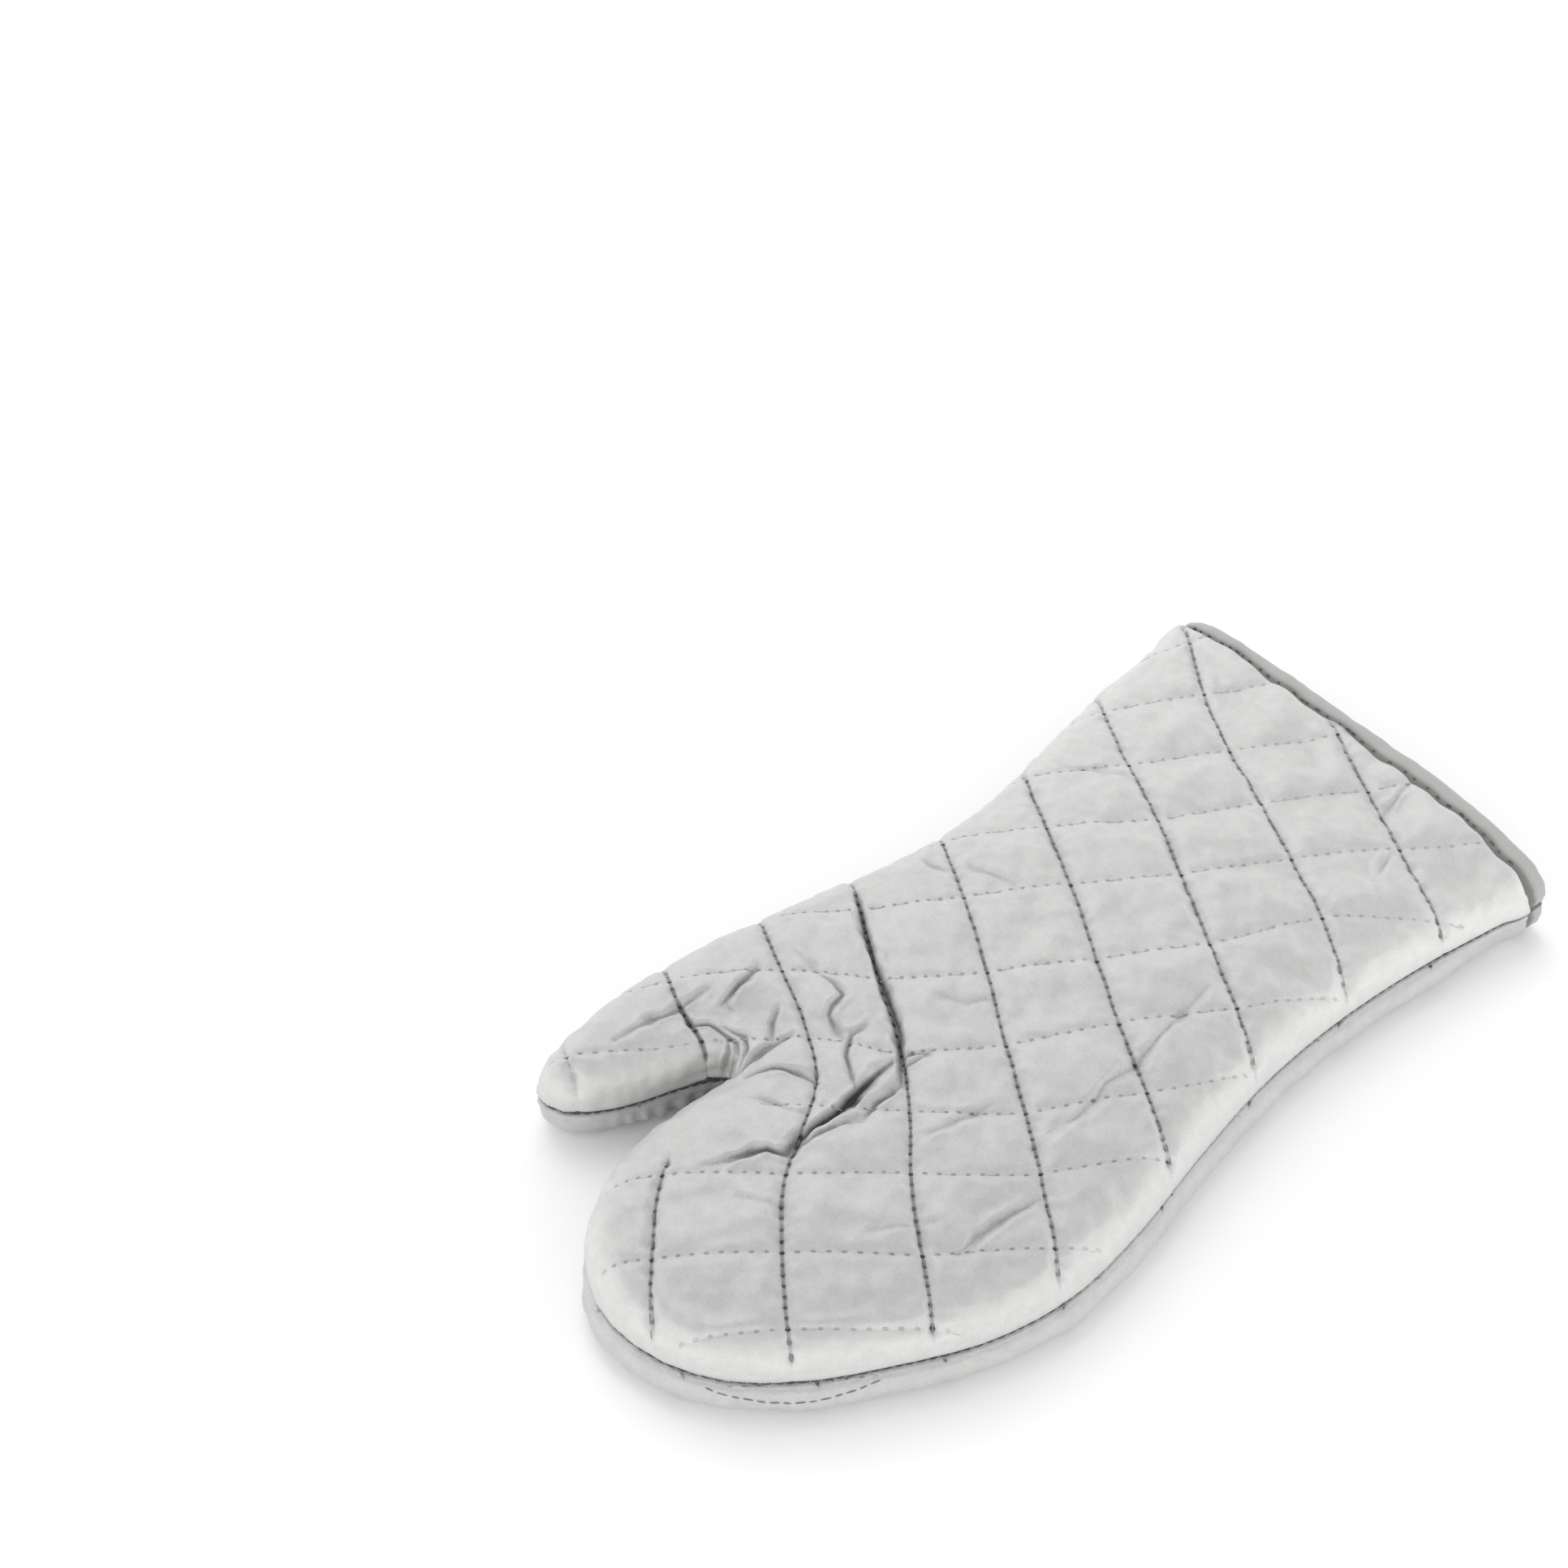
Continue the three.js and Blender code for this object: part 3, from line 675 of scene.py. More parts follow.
def sewn_line(away, run, line, pucker):
    """The dip beside one family of lines: away from it, and run along it, in stitches."""
    shoulder = line["depth"] * np.clip(1 - away / line["width"], 0, 1) ** 2
    core = line["core"] * np.exp(-away / line["core_width"])
    dimple = 1 - DIMPLE + DIMPLE * np.cos(2 * math.pi * run)
    gather = PUCKER["share"] * line["depth"] * pucker * np.exp(-away / PUCKER["reach"])
    return shoulder + core * dimple + gather


def waves(points, size, seed, count=28):
    """Smooth noise of height about 1, made of many sine waves about size millimetres long."""
    chance = np.random.default_rng(seed)
    heading = chance.normal(size=(count, 3))
    heading /= np.linalg.norm(heading, axis=1)[:, None]
    pace = 2 * math.pi / (size * chance.uniform(0.7, 1.5, count))
    start = chance.uniform(0, 2 * math.pi, count)
    total = np.zeros(len(points))
    for way, rate, phase in zip(heading, pace, start):
        total += np.sin(points @ way * rate + phase)
    return total * math.sqrt(2 / count)


def quilt_relief(points, place, sewn):
    """How far the sewing pulls the cloth in at each point, in millimetres."""
    pucker = waves(points, PUCKER["size"], seed=11)
    crisp_away, faint_away = from_lines(place).T
    crisp = sewn_line(crisp_away, place[:, 1] * CRISP["stitches"], CRISP, pucker)
    faint = sewn_line(faint_away, place[:, 0] * FAINT["stitches"], FAINT, pucker)
    return np.maximum(crisp, faint) * sewn


print("a crisp line is", CRISP["depth"] + CRISP["core"], "mm deep, a faint one", FAINT["depth"])

# %% [markdown]
# ## Folds and gathers
#
# The mitt has been folded at the root of the thumb, so the cloth there is creased, and small
# gathers fan out from the crotch. Each crease is one row: its depth, its width and the corners of
# its path in plan. It is deepest in its middle, and the cloth beside it stands up a little. Its
# bottom also gets painted shade in the cloth's colour.

# %% The creases of the back panel
CREASE_ROWS = """
2.8 0.85 | -56 -17, -40 -26, -28 -32, -16 -37, -3 -43, 5 -49, 13 -55
3.4 1.1 | 5 -52, 6 -59, 7 -66, 8 -73, 9 -80, 9 -91, 11 -97
2.0 0.8 | 13 -55, 14 -60, 14 -66, 16 -72
1.5 0.7 | 15 -74, 14 -78, 13 -84, 11 -96
2.4 0.9 | 12 -95, 10 -99, 7 -101, 5 -105, 3 -111
0.9 0.9 | 6 -106, 3 -113, 0 -119
2.0 0.9 | -50 -61, -48 -70, -46 -78
0.7 0.7 | -46 -77, -42 -76
1.4 0.8 | -34 -65, -31 -70, -26 -74
1.7 0.6 | -23 -68, -24 -73, -25 -79, -25 -90
1.6 0.6 | -21 -88, -17 -81, -13 -78, -9 -76, -3 -74
0.7 0.7 | -13 -94, -10 -91, -5 -88, 1 -86, 4 -84
0.6 0.9 | -49 -48, -41 -48, -32 -48
1.6 0.8 | -34 -48, -29 -47, -24 -48, -23 -53, -21 -56, -17 -57, -12 -58
1.7 0.8 | -11 -49, -11 -55, -8 -59, -5 -62, 6 -67
1.3 0.8 | -53 -78, -53 -89, -54 -97, -55 -112
1.8 0.6 | -54 -88, -46 -89, -43 -85, -37 -83, -33 -82, -30 -84, -29 -89
1.7 0.5 | -39 -82, -33 -79, -29 -81, -27 -86, -26 -90
1.5 0.5 | -36 -83, -33 -85, -32 -89
1.2 0.6 | -55 -88, -46 -90, -41 -90, -36 -91
1.3 0.7 | 5 -50, 6 -46, 10 -42
1.2 0.6 | 8 -52, 10 -42
1.0 1.1 | 53 -36, 54 -22, 52 -12, 50 -7, 50 5, 45 25, 41 46
1.2 0.9 | 68 -79, 67 -70, 68 -48
0.8 1.1 | 33 -62, 34 -55, 36 -40
0.9 0.8 | 22 139, 17 155
1.0 0.8 | 35 130, 39 121
1.0 0.9 | -55 9, -45 11
0.8 1.0 | -43 18, -26 23
0.6 1.1 | -59 73, -41 85
0.5 1.0 | 15 -118, 30 -108
0.5 1.0 | 48 -96, 57 -78
0.5 1.0 | -8 -28, 2 -20, 6 -10
"""
WOBBLE = {"size": 9.0, "share": 0.3}
LIFT = {"share": 0.3, "widths": 2.6, "width": 1.1}


def read_crease(row):
    """The depth, width and path of one row."""
    size, path = row.split("|")
    corners = np.array([corner.split() for corner in path.split(",")], float)
    return (*(float(number) for number in size.split()), corners)


CREASES = [read_crease(row) for row in CREASE_ROWS.strip().split("\n")]


def path_place(plan, corners):
    """How far each point is from a path, and its share of the way along it."""
    lengths = np.linalg.norm(np.diff(corners, axis=0), axis=1)
    nearest = np.full(len(plan), 1e9)
    along = np.zeros(len(plan))
    done = 0.0
    for start, end, length in zip(corners[:-1], corners[1:], lengths):
        share = np.clip(((plan - start) @ (end - start)) / length ** 2, 0, 1)
        gap = np.linalg.norm(plan - start - share[:, None] * (end - start), axis=1)
        closer = gap < nearest
        nearest = np.where(closer, gap, nearest)
        along = np.where(closer, (done + share * length) / lengths.sum(), along)
        done += length
    return nearest, along


def crease_relief(plan):
    """How far the creases pull the cloth in at each point, and the painted shade at their bottoms.
    """
    wobble = waves(np.c_[plan, np.zeros(len(plan))], WOBBLE["size"], seed=5) * WOBBLE["share"]
    total = np.zeros(len(plan))
    dark = np.zeros(len(plan))
    for depth, width, path in CREASES:
        away, along = path_place(plan, path)
        strength = depth * np.sin(math.pi * np.clip(along * 0.88 + 0.06, 0, 1)) ** 0.6
        away = np.abs(away + wobble * np.minimum(away, 2))
        total += strength * np.exp(-away / width)
        lift = np.exp(-((away / width - LIFT["widths"]) / LIFT["width"]) ** 2)
        total -= LIFT["share"] * strength * lift
        # Painted shade at the bottom of each crease.
        dark = np.maximum(dark, strength / 3 * np.exp(-(away / (0.9 * width)) ** 2))
    return total, dark


PLEATED = np.array((-38.0, -101.0))
PLEATS = {"depth": {1: 0.12, -1: 1.7}, "step": 5.6, "along": 18, "inset": 6}
# The pleats' steps are uneven: they sway to and fro along the seam.
SWAY = {"most": 1.6, "step": 5}
SEAM_PUCKER = {"depth": 0.09, "size": 7.0, "inset": 5}


def gather_relief(points, inset, reach, sign):
    """The small pleats where the seam turns round the crotch, and the puckers along the seam."""
    near_crotch = np.exp(-((reach - seam_place(PLEATED[None])[1]) / PLEATS["along"]) ** 2)
    sway = SWAY["most"] * np.sin(reach / SWAY["step"])
    pleats = np.sin(reach * 2 * math.pi / PLEATS["step"] + sway)
    inside = np.clip(inset, 0, 40)
    deep = PLEATS["depth"][sign] * near_crotch * np.exp(-inside / PLEATS["inset"])
    place = np.c_[reach, inset * 0.3, points[:, 2] * 0.3]
    puckers = SEAM_PUCKER["depth"] * waves(place, SEAM_PUCKER["size"], seed=3)
    return deep * pleats + puckers * np.exp(-inside / SEAM_PUCKER["inset"])


print(len(CREASES), "creases, and gathers at the crotch")

# %% Cut the creased places finer
FINE = {"crease": 2.6, "inset": 1.5, "height": 2.2}


def is_fine(piece, sign):
    """True beside the creases and beside the side seam."""
    points, normals = read_points(piece)
    inset, _, height = panel_place(points, sign)
    fine = (inset < FINE["inset"]) & (height < FINE["height"])
    if sign > 0:
        beside = [path_place(points[:, :2], path)[0] for _, _, path in CREASES]
        fine |= is_outer(points, normals, sign) & (np.min(beside, axis=0) < FINE["crease"])
    return fine


for piece, sign in PANELS.values():
    refine(piece, is_fine(piece, sign), smoothness=0)

# %% [markdown]
# ## The seam's edge, the hem and the palm's wall
#
# The remesh rounds off every corner. At the side seam the real cloth turns in sharply, so that
# the two panels meet in a thin dark groove, and the outer wall is moved back to that profile. At
# the cuff the binding squeezes the panel, and the puffed cloth beside it bulges over the tape.
# The palm's wall swells out beyond the seam, on the near side and round the fingertips.

# %% Seam edge, hem and palm
SEAM_EDGE = {"rise": [0, 0.5, 1.1, 2.6, 5], "inset": [0.8, -0.8, -1.8, -2.4, -2.2], "most": 1.6}
HEM_SQUEEZE = 1.3
HEM_LIP = {"rise": 1.5, "reach": 2.2, "width": 4.5, "shift_width": 2.0}
# The lip reaches further at the thumb's end of the cuff.
LIP_SHARE = {"across": [-80, 20], "share": [1.5, 1.1]}
NEAR_SIDE = np.array((0.7, -0.7))
PALM_BULGE = {
    "most": 3.4, "height": (0.5, 6), "facing": (0, 0.6), "across": (-36, 8), "from_hem": (4, 40),
}
BULGE_ROUNDS = 12
WALL_ROUNDS = 8


def sharpen_seam(points, sign):
    """Moves the outer wall near the seam back to the profile that cloth takes at a sewn edge."""
    inset, reach, height = panel_place(points, sign)
    wanted = np.interp(height, SEAM_EDGE["rise"], SEAM_EDGE["inset"])
    share = (inset < 2.2) * smooth_step(SEAM_EDGE["rise"][-1] - height, 0, 3)
    step = seam_inward(reach) * ((wanted - inset) * share)[:, None]
    points[:, :2] += np.clip(step, -SEAM_EDGE["most"], SEAM_EDGE["most"])


def lip_reach(plan):
    """How far the puffed panel bulges over the tape: unevenly, and more at the thumb's end."""
    ragged = 1 + 0.16 * waves(np.c_[plan[:, 0], np.zeros((len(plan), 2))], 13, seed=31)
    share = np.interp(plan[:, 0], LIP_SHARE["across"], LIP_SHARE["share"])
    return HEM_LIP["reach"] * ragged * share


def lip_shift(plan):
    """How far the cloth beside the hem moves towards the tape."""
    return lip_reach(plan) * np.exp(-((before_hem(plan) - 0.5) / HEM_LIP["shift_width"]) ** 2)


def shape_hem(points, normals, outer):
    """Squeezes the panel under the binding and bulges the cloth beside it over the tape."""
    before = before_hem(points[:, :2])
    squeeze = smooth_step(-before, -0.5, 1.5) * HEM_SQUEEZE
    points -= normals * squeeze[:, None]
    reach = lip_reach(points[:, :2])
    shift = lip_shift(points[:, :2]) * outer
    lip = np.exp(-((before - 1.0) / HEM_LIP["width"]) ** 2) * (before > -2.5) * outer
    points += normals * (HEM_LIP["rise"] / HEM_LIP["reach"] * lip * reach)[:, None]
    points[:, 1] += shift


def bulge_palm(points, height, edges):
    """Swells the palm panel's wall out beyond the seam, where the mitt's weight rests on it."""
    inset, reach = seam_place(points[:, :2])
    outward = -seam_inward(reach)
    swell = smooth_step(height, *PALM_BULGE["height"]) * smooth_step(10 - inset, 0, 10)
    swell *= smooth_step(outward @ NEAR_SIDE, *PALM_BULGE["facing"])
    swell *= smooth_step(points[:, 0], *PALM_BULGE["across"])
    swell *= smooth_step(before_hem(points[:, :2]), *PALM_BULGE["from_hem"])
    step = outward * (PALM_BULGE["most"] * swell)[:, None]
    points[:, :2] += relax(step, edges, 0.5, BULGE_ROUNDS)
    wall = smooth_step(4 - inset, 0, 3) * smooth_step(height, 2, 5)
    points[:] = relax(points, edges, 0.5 * wall, WALL_ROUNDS)


print("the binding squeezes each panel by", HEM_SQUEEZE, "mm a side")

# %% [markdown]
# ## Shape the panels
#
# The relief moves each point of the outer face along its own direction. Wadding is never even, so
# two sizes of soft noise are added. No point may cross the seam's level or go under the floor.
# The two quilting coordinates are kept on the mesh as a UV map, because the finish draws the thin
# line and the needle holes at the same places.

# %% Move the points and keep the map
SEAM_GAP = 0.3
SEAM_TUCK = 0.35
DEEPEST = 4.0
PALM_RELIEF = 0.5
# Painted shade in the seam's groove: its share, its width on each panel and how far inside the
# seam.
GROOVE_SHADE = {"share": 0.65, "width": {1: 0.8, -1: 1.0}, "inset": 2}
# Painted light on the back's rim, most on the near side, and painted light rising from the fingers
# to the cuff end.
PAINTED_RIM_LIGHT = {"height": 20, "inset": 13, "fade": 12}
PAINTED_LIGHT_ALONG = {"along": [-140, -60, 20, 150], "share": [-0.14, -0.12, 0.05, 0.4]}


def uneven(points):
    """The slow and the quick waves of wadding that is never even, in millimetres."""
    return 0.16 * waves(points, 17, seed=1) + 0.06 * waves(points, 6.5, seed=2)


def painted_light_of(points, inset, reach, height, sign):
    """How much painted light each point gets: on the back's rim, more on the near side, and rising
    from below zero at the fingers to the cuff end; on the palm, along its wall by the seam.
    """
    if sign < 0:
        return 0.1 * smooth_step(4 - inset, 0, 3)
    rim = smooth_step(height, 0, 5)
    rim *= smooth_step(PAINTED_RIM_LIGHT["height"] - height, 0, PAINTED_RIM_LIGHT["fade"])
    rim *= smooth_step(PAINTED_RIM_LIGHT["inset"] - inset, 0, PAINTED_RIM_LIGHT["fade"])
    rim *= 0.3 + 0.8 * smooth_step(-seam_inward(reach) @ NEAR_SIDE, -0.6, 0.3)
    return rim + np.interp(points[:, 1], PAINTED_LIGHT_ALONG["along"], PAINTED_LIGHT_ALONG["share"])


def shape_panel(piece, sign):
    """Gives one panel its relief and its maps."""
    points, normals = read_points(piece)
    plan = points[:, :2]
    outer = is_outer(points, normals, sign)
    inset, reach, height = panel_place(points, sign)
    drawn = plan + np.c_[np.zeros(len(plan)), lip_shift(plan) * outer]
    place = quilt_place(drawn, sign)
    sewn = where_sewn(drawn, sign)
    near_rim = smooth_step(height, 0, 5)
    relief = quilt_relief(points, place, sewn) * (1 if sign > 0 else PALM_RELIEF)
    crease = np.zeros(len(points))
    if sign > 0:
        folds, crease = crease_relief(plan)
        relief += folds * near_rim
    relief += gather_relief(points, inset, reach, sign) * near_rim
    relief -= uneven(points) * near_rim
    relief = np.where(relief > 0, DEEPEST * np.tanh(relief / DEEPEST), relief)
    points -= normals * (relief * outer)[:, None]
    sharpen_seam(points, sign)
    shape_hem(points, normals, outer)
    if sign < 0:
        bulge_palm(points, height, read_edges(piece))
    # Painted shade in the seam's groove, at the foot of the outer wall.
    groove = np.exp(-(np.clip(height, 0, 9) / GROOVE_SHADE["width"][sign]) ** 2)
    groove *= GROOVE_SHADE["share"] * (inset < GROOVE_SHADE["inset"])
    gap = SEAM_GAP / 2 + SEAM_TUCK * (inset < 1.5)
    if sign > 0:
        points[:, 2] = np.maximum(points[:, 2], SEAM_HEIGHT + gap)
    else:
        points[:, 2] = np.clip(points[:, 2], 0, SEAM_HEIGHT - gap)
    write_points(piece, points)
    keep_map(piece, place, outer | (inset < 3))
    keep_number(piece, "sewn", sewn * outer)
    # The crease number is painted shade: at the creases' bottoms and in the seam's groove.
    keep_number(piece, "crease", np.maximum(crease * near_rim * outer, groove))
    keep_number(piece, "polish", painted_light_of(points, inset, reach, height, sign) * outer)
    print(f"{piece.name}: the relief runs from {relief.min():.1f} to {relief.max():.1f} mm")


def keep_map(piece, place, outer):
    """Keeps the quilting map as a UV map, and the lining's faces for the second finish."""
    mesh = piece.data
    corners = read(mesh.loops, "vertex_index", 1, np.int32)[:, 0]
    for layer in list(mesh.uv_layers):
        mesh.uv_layers.remove(layer)
    layer = mesh.uv_layers.new(name="quilting")
    layer.data.foreach_set("uv", place[corners].ravel())
    lining = [not outer[list(face.vertices)].any() for face in mesh.polygons]
    mesh.polygons.foreach_set("material_index", np.array(lining, np.int32))


for piece, sign in PANELS.values():
    shape_panel(piece, sign)

# %% [markdown]
# ## The finishes
#
# The outer cloth is woven cotton with a thin coat of silvery paint, so it shines softly and
# evenly, like brushed metal with a very broad highlight. Close up it has a fine grain and faint
# mottling from the wadding. Its colour also holds painted shade, in thin lines and needle holes
# where the thread bites, at the creases' bottoms and in the seam's groove, and painted light on
# the rims and towards the cuff.

# %% Silver-coated cloth
CLOTH_LIGHT = (0.65, 0.65, 0.64)
CLOTH_MIDDLE = (0.44, 0.44, 0.435)
# Painted shade of lines, holes, creases and groove takes the cloth towards CLOTH_DARK.
CLOTH_DARK = (0.05, 0.05, 0.05)
# How far the painted shade of a line and of its needle holes reaches, and how soft its edge is.
CRISP_HOLE = (0.35, 0.25)
FAINT_HOLE = (0.2, 0.16)
CRISP_LINE = (0.45, 0.35)
# The painted shade of crisp line 1, on the thumb's tip, is fainter than on the lines above it.
PALE_LINES = (1.5, 0.1)


def holes_of(line, away, across, spacing, stretch, edge):
    """1 in the needle holes of one family of lines, where painted shade goes. across is the other
    family's place.
    """
    run = (across * line["stitches"]).away_from_whole() * (spacing / line["stitches"])
    return (away ** 2 + (run * stretch) ** 2).below(*edge)


def coated_cloth():
    """Silver-coated cloth with its grain, its sewn lines and its needle holes, with painted shade
    in the lines, the holes, the creases and the seam's groove, and painted light.
    """
    finish = Finish("coated_cloth", Metallic=0.3, Roughness=0.55)
    quilting = finish.add("ShaderNodeUVMap", {"uv_map": "quilting"})
    crisp_place, faint_place = [finish.part(quilting, axis) for axis in "XY"]
    sewn, crease, polish = [finish.attribute(name) for name in ("sewn", "crease", "polish")]
    crisp_away = crisp_place.away_from_whole() * CRISP_SPACING
    faint_away = faint_place.away_from_whole() * FAINT_SPACING
    crisp_hole = holes_of(CRISP, crisp_away, faint_place, FAINT_SPACING, 1.0, CRISP_HOLE)
    faint_hole = holes_of(FAINT, faint_away, crisp_place, CRISP_SPACING, 0.6, FAINT_HOLE)
    crisp_shown = 1 - crisp_place.below(*PALE_LINES) * 0.7
    mottle = finish.speckle(4.0)
    grain = finish.speckle(0.7, detail=2.0)
    # Painted shade of the sewn grooves and needle holes, also used for their bump.
    crisp = crisp_away.below(*CRISP_LINE) * 0.28 + crisp_hole * 0.22
    dark = (crisp * crisp_shown + faint_hole * 0.28) * sewn
    # shade adds random tone, painted light and painted shade of lines, holes, creases and groove.
    shade = mottle * 0.25 + grain * 0.25 + 0.34 + polish * 0.26 - dark - crease * 0.58
    finish.set(Base_Color=finish.tint(shade, CLOTH_DARK, CLOTH_MIDDLE, CLOTH_LIGHT))
    finish.relief(grain * 0.14 + mottle * 0.3 - dark * 1.2, 0.5)
    return finish.material


FINISHES = {"coated_cloth": coated_cloth()}
print("made", FINISHES["coated_cloth"].name)

# %% Lining, tape and thread
# The darkest and the lightest colour, the size of the weave and the depth of its relief.
PLAIN_CLOTHS = {
    "lining": [(0.62, 0.60, 0.55), (0.78, 0.76, 0.71), 0.8, 0.25],
    "binding_cloth": [(0.34, 0.34, 0.33), (0.45, 0.45, 0.44), 0.5, 0.2],
    # The crisp lines' thread is darker than the pale thread of the faint lines: painted shade of
    # the groove that it lies in.
    "thread": [(0.20, 0.20, 0.195), (0.30, 0.30, 0.295), 0.3, 0.05],
    "pale_thread": [(0.48, 0.48, 0.475), (0.56, 0.56, 0.555), 0.3, 0.05],
    "dark_thread": [(0.08, 0.08, 0.08), (0.14, 0.14, 0.135), 0.3, 0.05],
}
# How dark the tape's painted shade is, as a share of its darkest colour.
TUCK_SHADE_SHARE = 0.35


def plain_cloth(name, colours, weave_size, depth):
    """A matt cloth with a fine weave. The tape gets painted shade where the panel's lip overhangs
    it.
    """
    finish = Finish(name, Metallic=0.0, Roughness=0.85)
    lengthways = finish.speckle(weave_size, detail=2.0, stretch=(1, 0.35, 1))
    sideways = finish.speckle(weave_size, detail=2.0, stretch=(0.35, 1, 1))
    weave = lengthways * 0.5 + sideways * 0.5
    soil = finish.speckle(14.0)
    shade = weave * 0.6 + soil * 0.4
    if name == "binding_cloth":
        shade = (shade * 0.5 + 0.5) * (1 - finish.attribute("tucked"))
        colours = [tuple(part * TUCK_SHADE_SHARE for part in colours[0])] + colours
    finish.set(Base_Color=finish.tint(shade, *colours))
    finish.relief(weave, depth)
    return finish.material


def dress(piece, *names):
    """Gives a piece its finishes and smooth shading."""
    for name in names:
        piece.data.materials.append(FINISHES[name])
    smooth = np.ones(len(piece.data.polygons), bool)
    piece.data.polygons.foreach_set("use_smooth", smooth)


for name, (*colours, weave_size, depth) in PLAIN_CLOTHS.items():
    FINISHES[name] = plain_cloth(name, colours, weave_size, depth)
for piece, _ in PANELS.values():
    dress(piece, "coated_cloth", "lining")
print("finishes:", list(FINISHES))

# %% [markdown]
# ## The thread
#
# Each sewn line is a row of stitches about four millimetres long, pulled tight, so each one dips
# into the cloth at both ends. One stitch is modelled and then laid along every line, from needle
# hole to needle hole. The holes' heights come from dropping a ray on to the finished panel.

# %% One stitch
STITCH = {
    "thickness": 0.42, "sides": 6, "rings": 7,
    "arch": 0.28, "sink": 0.3, "taper": 0.45, "share": 0.86,
}


def model_stitch():
    """A short round thread of length 1 along X, as points and faces, arched in the middle."""
    bpy.ops.mesh.primitive_cylinder_add(
        vertices=STITCH["sides"], radius=STITCH["thickness"] / 2, depth=1, end_fill_type="NGON"
    )
    stitch = bpy.context.object
    turn = {"value": math.pi / 2, "orient_axis": "Y", "center_override": (0, 0, 0)}
    steps = [(bpy.ops.transform.rotate, turn)]
    for cut in range(1, STITCH["rings"] - 1):
        plane = {"plane_co": (cut / (STITCH["rings"] - 1) - 0.5, 0, 0), "plane_no": (1, 0, 0)}
        steps.append((bpy.ops.mesh.select_all, {"action": "SELECT"}))
        steps.append((bpy.ops.mesh.bisect, plane))
    edit(stitch, *steps)
    points = read(stitch.data.vertices, "co")
    faces = [list(face.vertices) for face in stitch.data.polygons]
    bpy.data.objects.remove(stitch)
    share = points[:, 0] * 2
    points[:, 1:] *= (1 - STITCH["taper"] * share ** 4)[:, None]
    points[:, 2] += STITCH["arch"] * (1 - share ** 2) - STITCH["sink"] * share ** 6
    return points, faces


STITCH_POINTS, STITCH_FACES = model_stitch()
print("one stitch has", len(STITCH_FACES), "faces")

# %% Lay stitches along a row of holes
def surface_of(piece):
    """A search tree of the piece's faces, for dropping rays on to it."""
    piece.data.update()
    return BVHTree.FromObject(piece, bpy.context.evaluated_depsgraph_get())


def drop(tree, plan, sign):
    """Where a ray in Z meets a piece, in millimetres, and how it faces there, or None."""
    origin = Vector((plan[0] * MM, plan[1] * MM, sign * 0.1))
    spot, facing, _, _ = tree.ray_cast(origin, Vector((0, 0, -sign)))
    if spot is None:
        return None
    return np.array(spot) / MM, np.array(facing)


def stitch_row(holes, facings, weight):
    """The points of one stitch between each two neighbouring holes. weight thins the thread."""
    rows = []
    for start, end, up in zip(holes[:-1], holes[1:], facings[:-1]):
        run = end - start
        length = np.linalg.norm(run)
        ahead = run / length
        side = np.cross(up, ahead)
        side /= np.linalg.norm(side)
        over = np.cross(ahead, side)
        local = STITCH_POINTS * (length * STITCH["share"], weight, weight)
        rows.append(local @ np.array([ahead, side, over]) + (start + end) / 2)
    return rows


def thread_piece(name, stitches, finish):
    """One piece made of many copies of the stitch."""
    count = len(STITCH_POINTS)
    points = np.concatenate(stitches) * MM
    faces = [
        [corner + index * count for corner in face]
        for index in range(len(stitches)) for face in STITCH_FACES
    ]
    mesh = bpy.data.meshes.new(name)
    mesh.from_pydata(points.tolist(), [], faces)
    piece = new_piece(name, mesh)
    dress(piece, finish)
    print(f"{name}: {len(stitches)} stitches")
    return piece


# %% Stitch the quilting
HOLE_DEPTH = 0.1
LINE_STEPS = (-4, 16)


def sewn_rows(tree, sign, line):
    """The stitches of one family of quilting lines on one panel."""
    stitches = []
    for number in line["numbers"]:
        steps = np.arange(*LINE_STEPS, 1 / line["stitches"])
        fixed = np.full(len(steps), float(number))
        plan = quilt_point(np.c_[fixed, steps] if line is CRISP else np.c_[steps, fixed], sign)
        inside = where_sewn(plan, sign) > 0.1
        holes, facings = [], []
        for spot, good in zip(plan, inside):
            found = drop(tree, spot, sign) if good else None
            if found is None:
                stitches += stitch_row(holes, facings, line["weight"])
                holes, facings = [], []
                continue
            holes.append(found[0] - found[1] * HOLE_DEPTH)
            facings.append(found[1])
        stitches += stitch_row(holes, facings, line["weight"])
    return stitches


threads = []
for piece, sign in PANELS.values():
    tree = surface_of(piece)
    # The crisp lines get the darker thread, whose colour holds painted groove shade.
    for family, line, finish in (("crisp", CRISP, "thread"), ("faint", FAINT, "pale_thread")):
        rows = sewn_rows(tree, sign, line)
        threads.append(thread_piece(f"{piece.name}_{family}_thread", rows, finish))

# %% Sew the side seam
SEAM_STITCH = 3.4
SEAM_THREAD = {"from": 4, "inset": -1.1, "below": 0.2}
# The palm's last line shows under the fingertips, in a curve that dips below its ends.
BAND = {"ends": [(47, -153), (72, -112)], "stitches": 15, "height": 10.7, "dip": 2.3, "weight": 0.9}


def seam_stitches():
    """Dark stitches in the groove between the two panels, all the way round."""
    steps = np.arange(SEAM_THREAD["from"], SEAM_LENGTH - 1, SEAM_STITCH)
    inward = seam_inward(steps)
    plan = SEAM[steps.round().astype(int)] + inward * SEAM_THREAD["inset"]
    holes = np.c_[plan, np.full(len(plan), SEAM_HEIGHT - SEAM_THREAD["below"])]
    return stitch_row(holes, np.c_[-inward, np.zeros(len(plan))], 1.0)


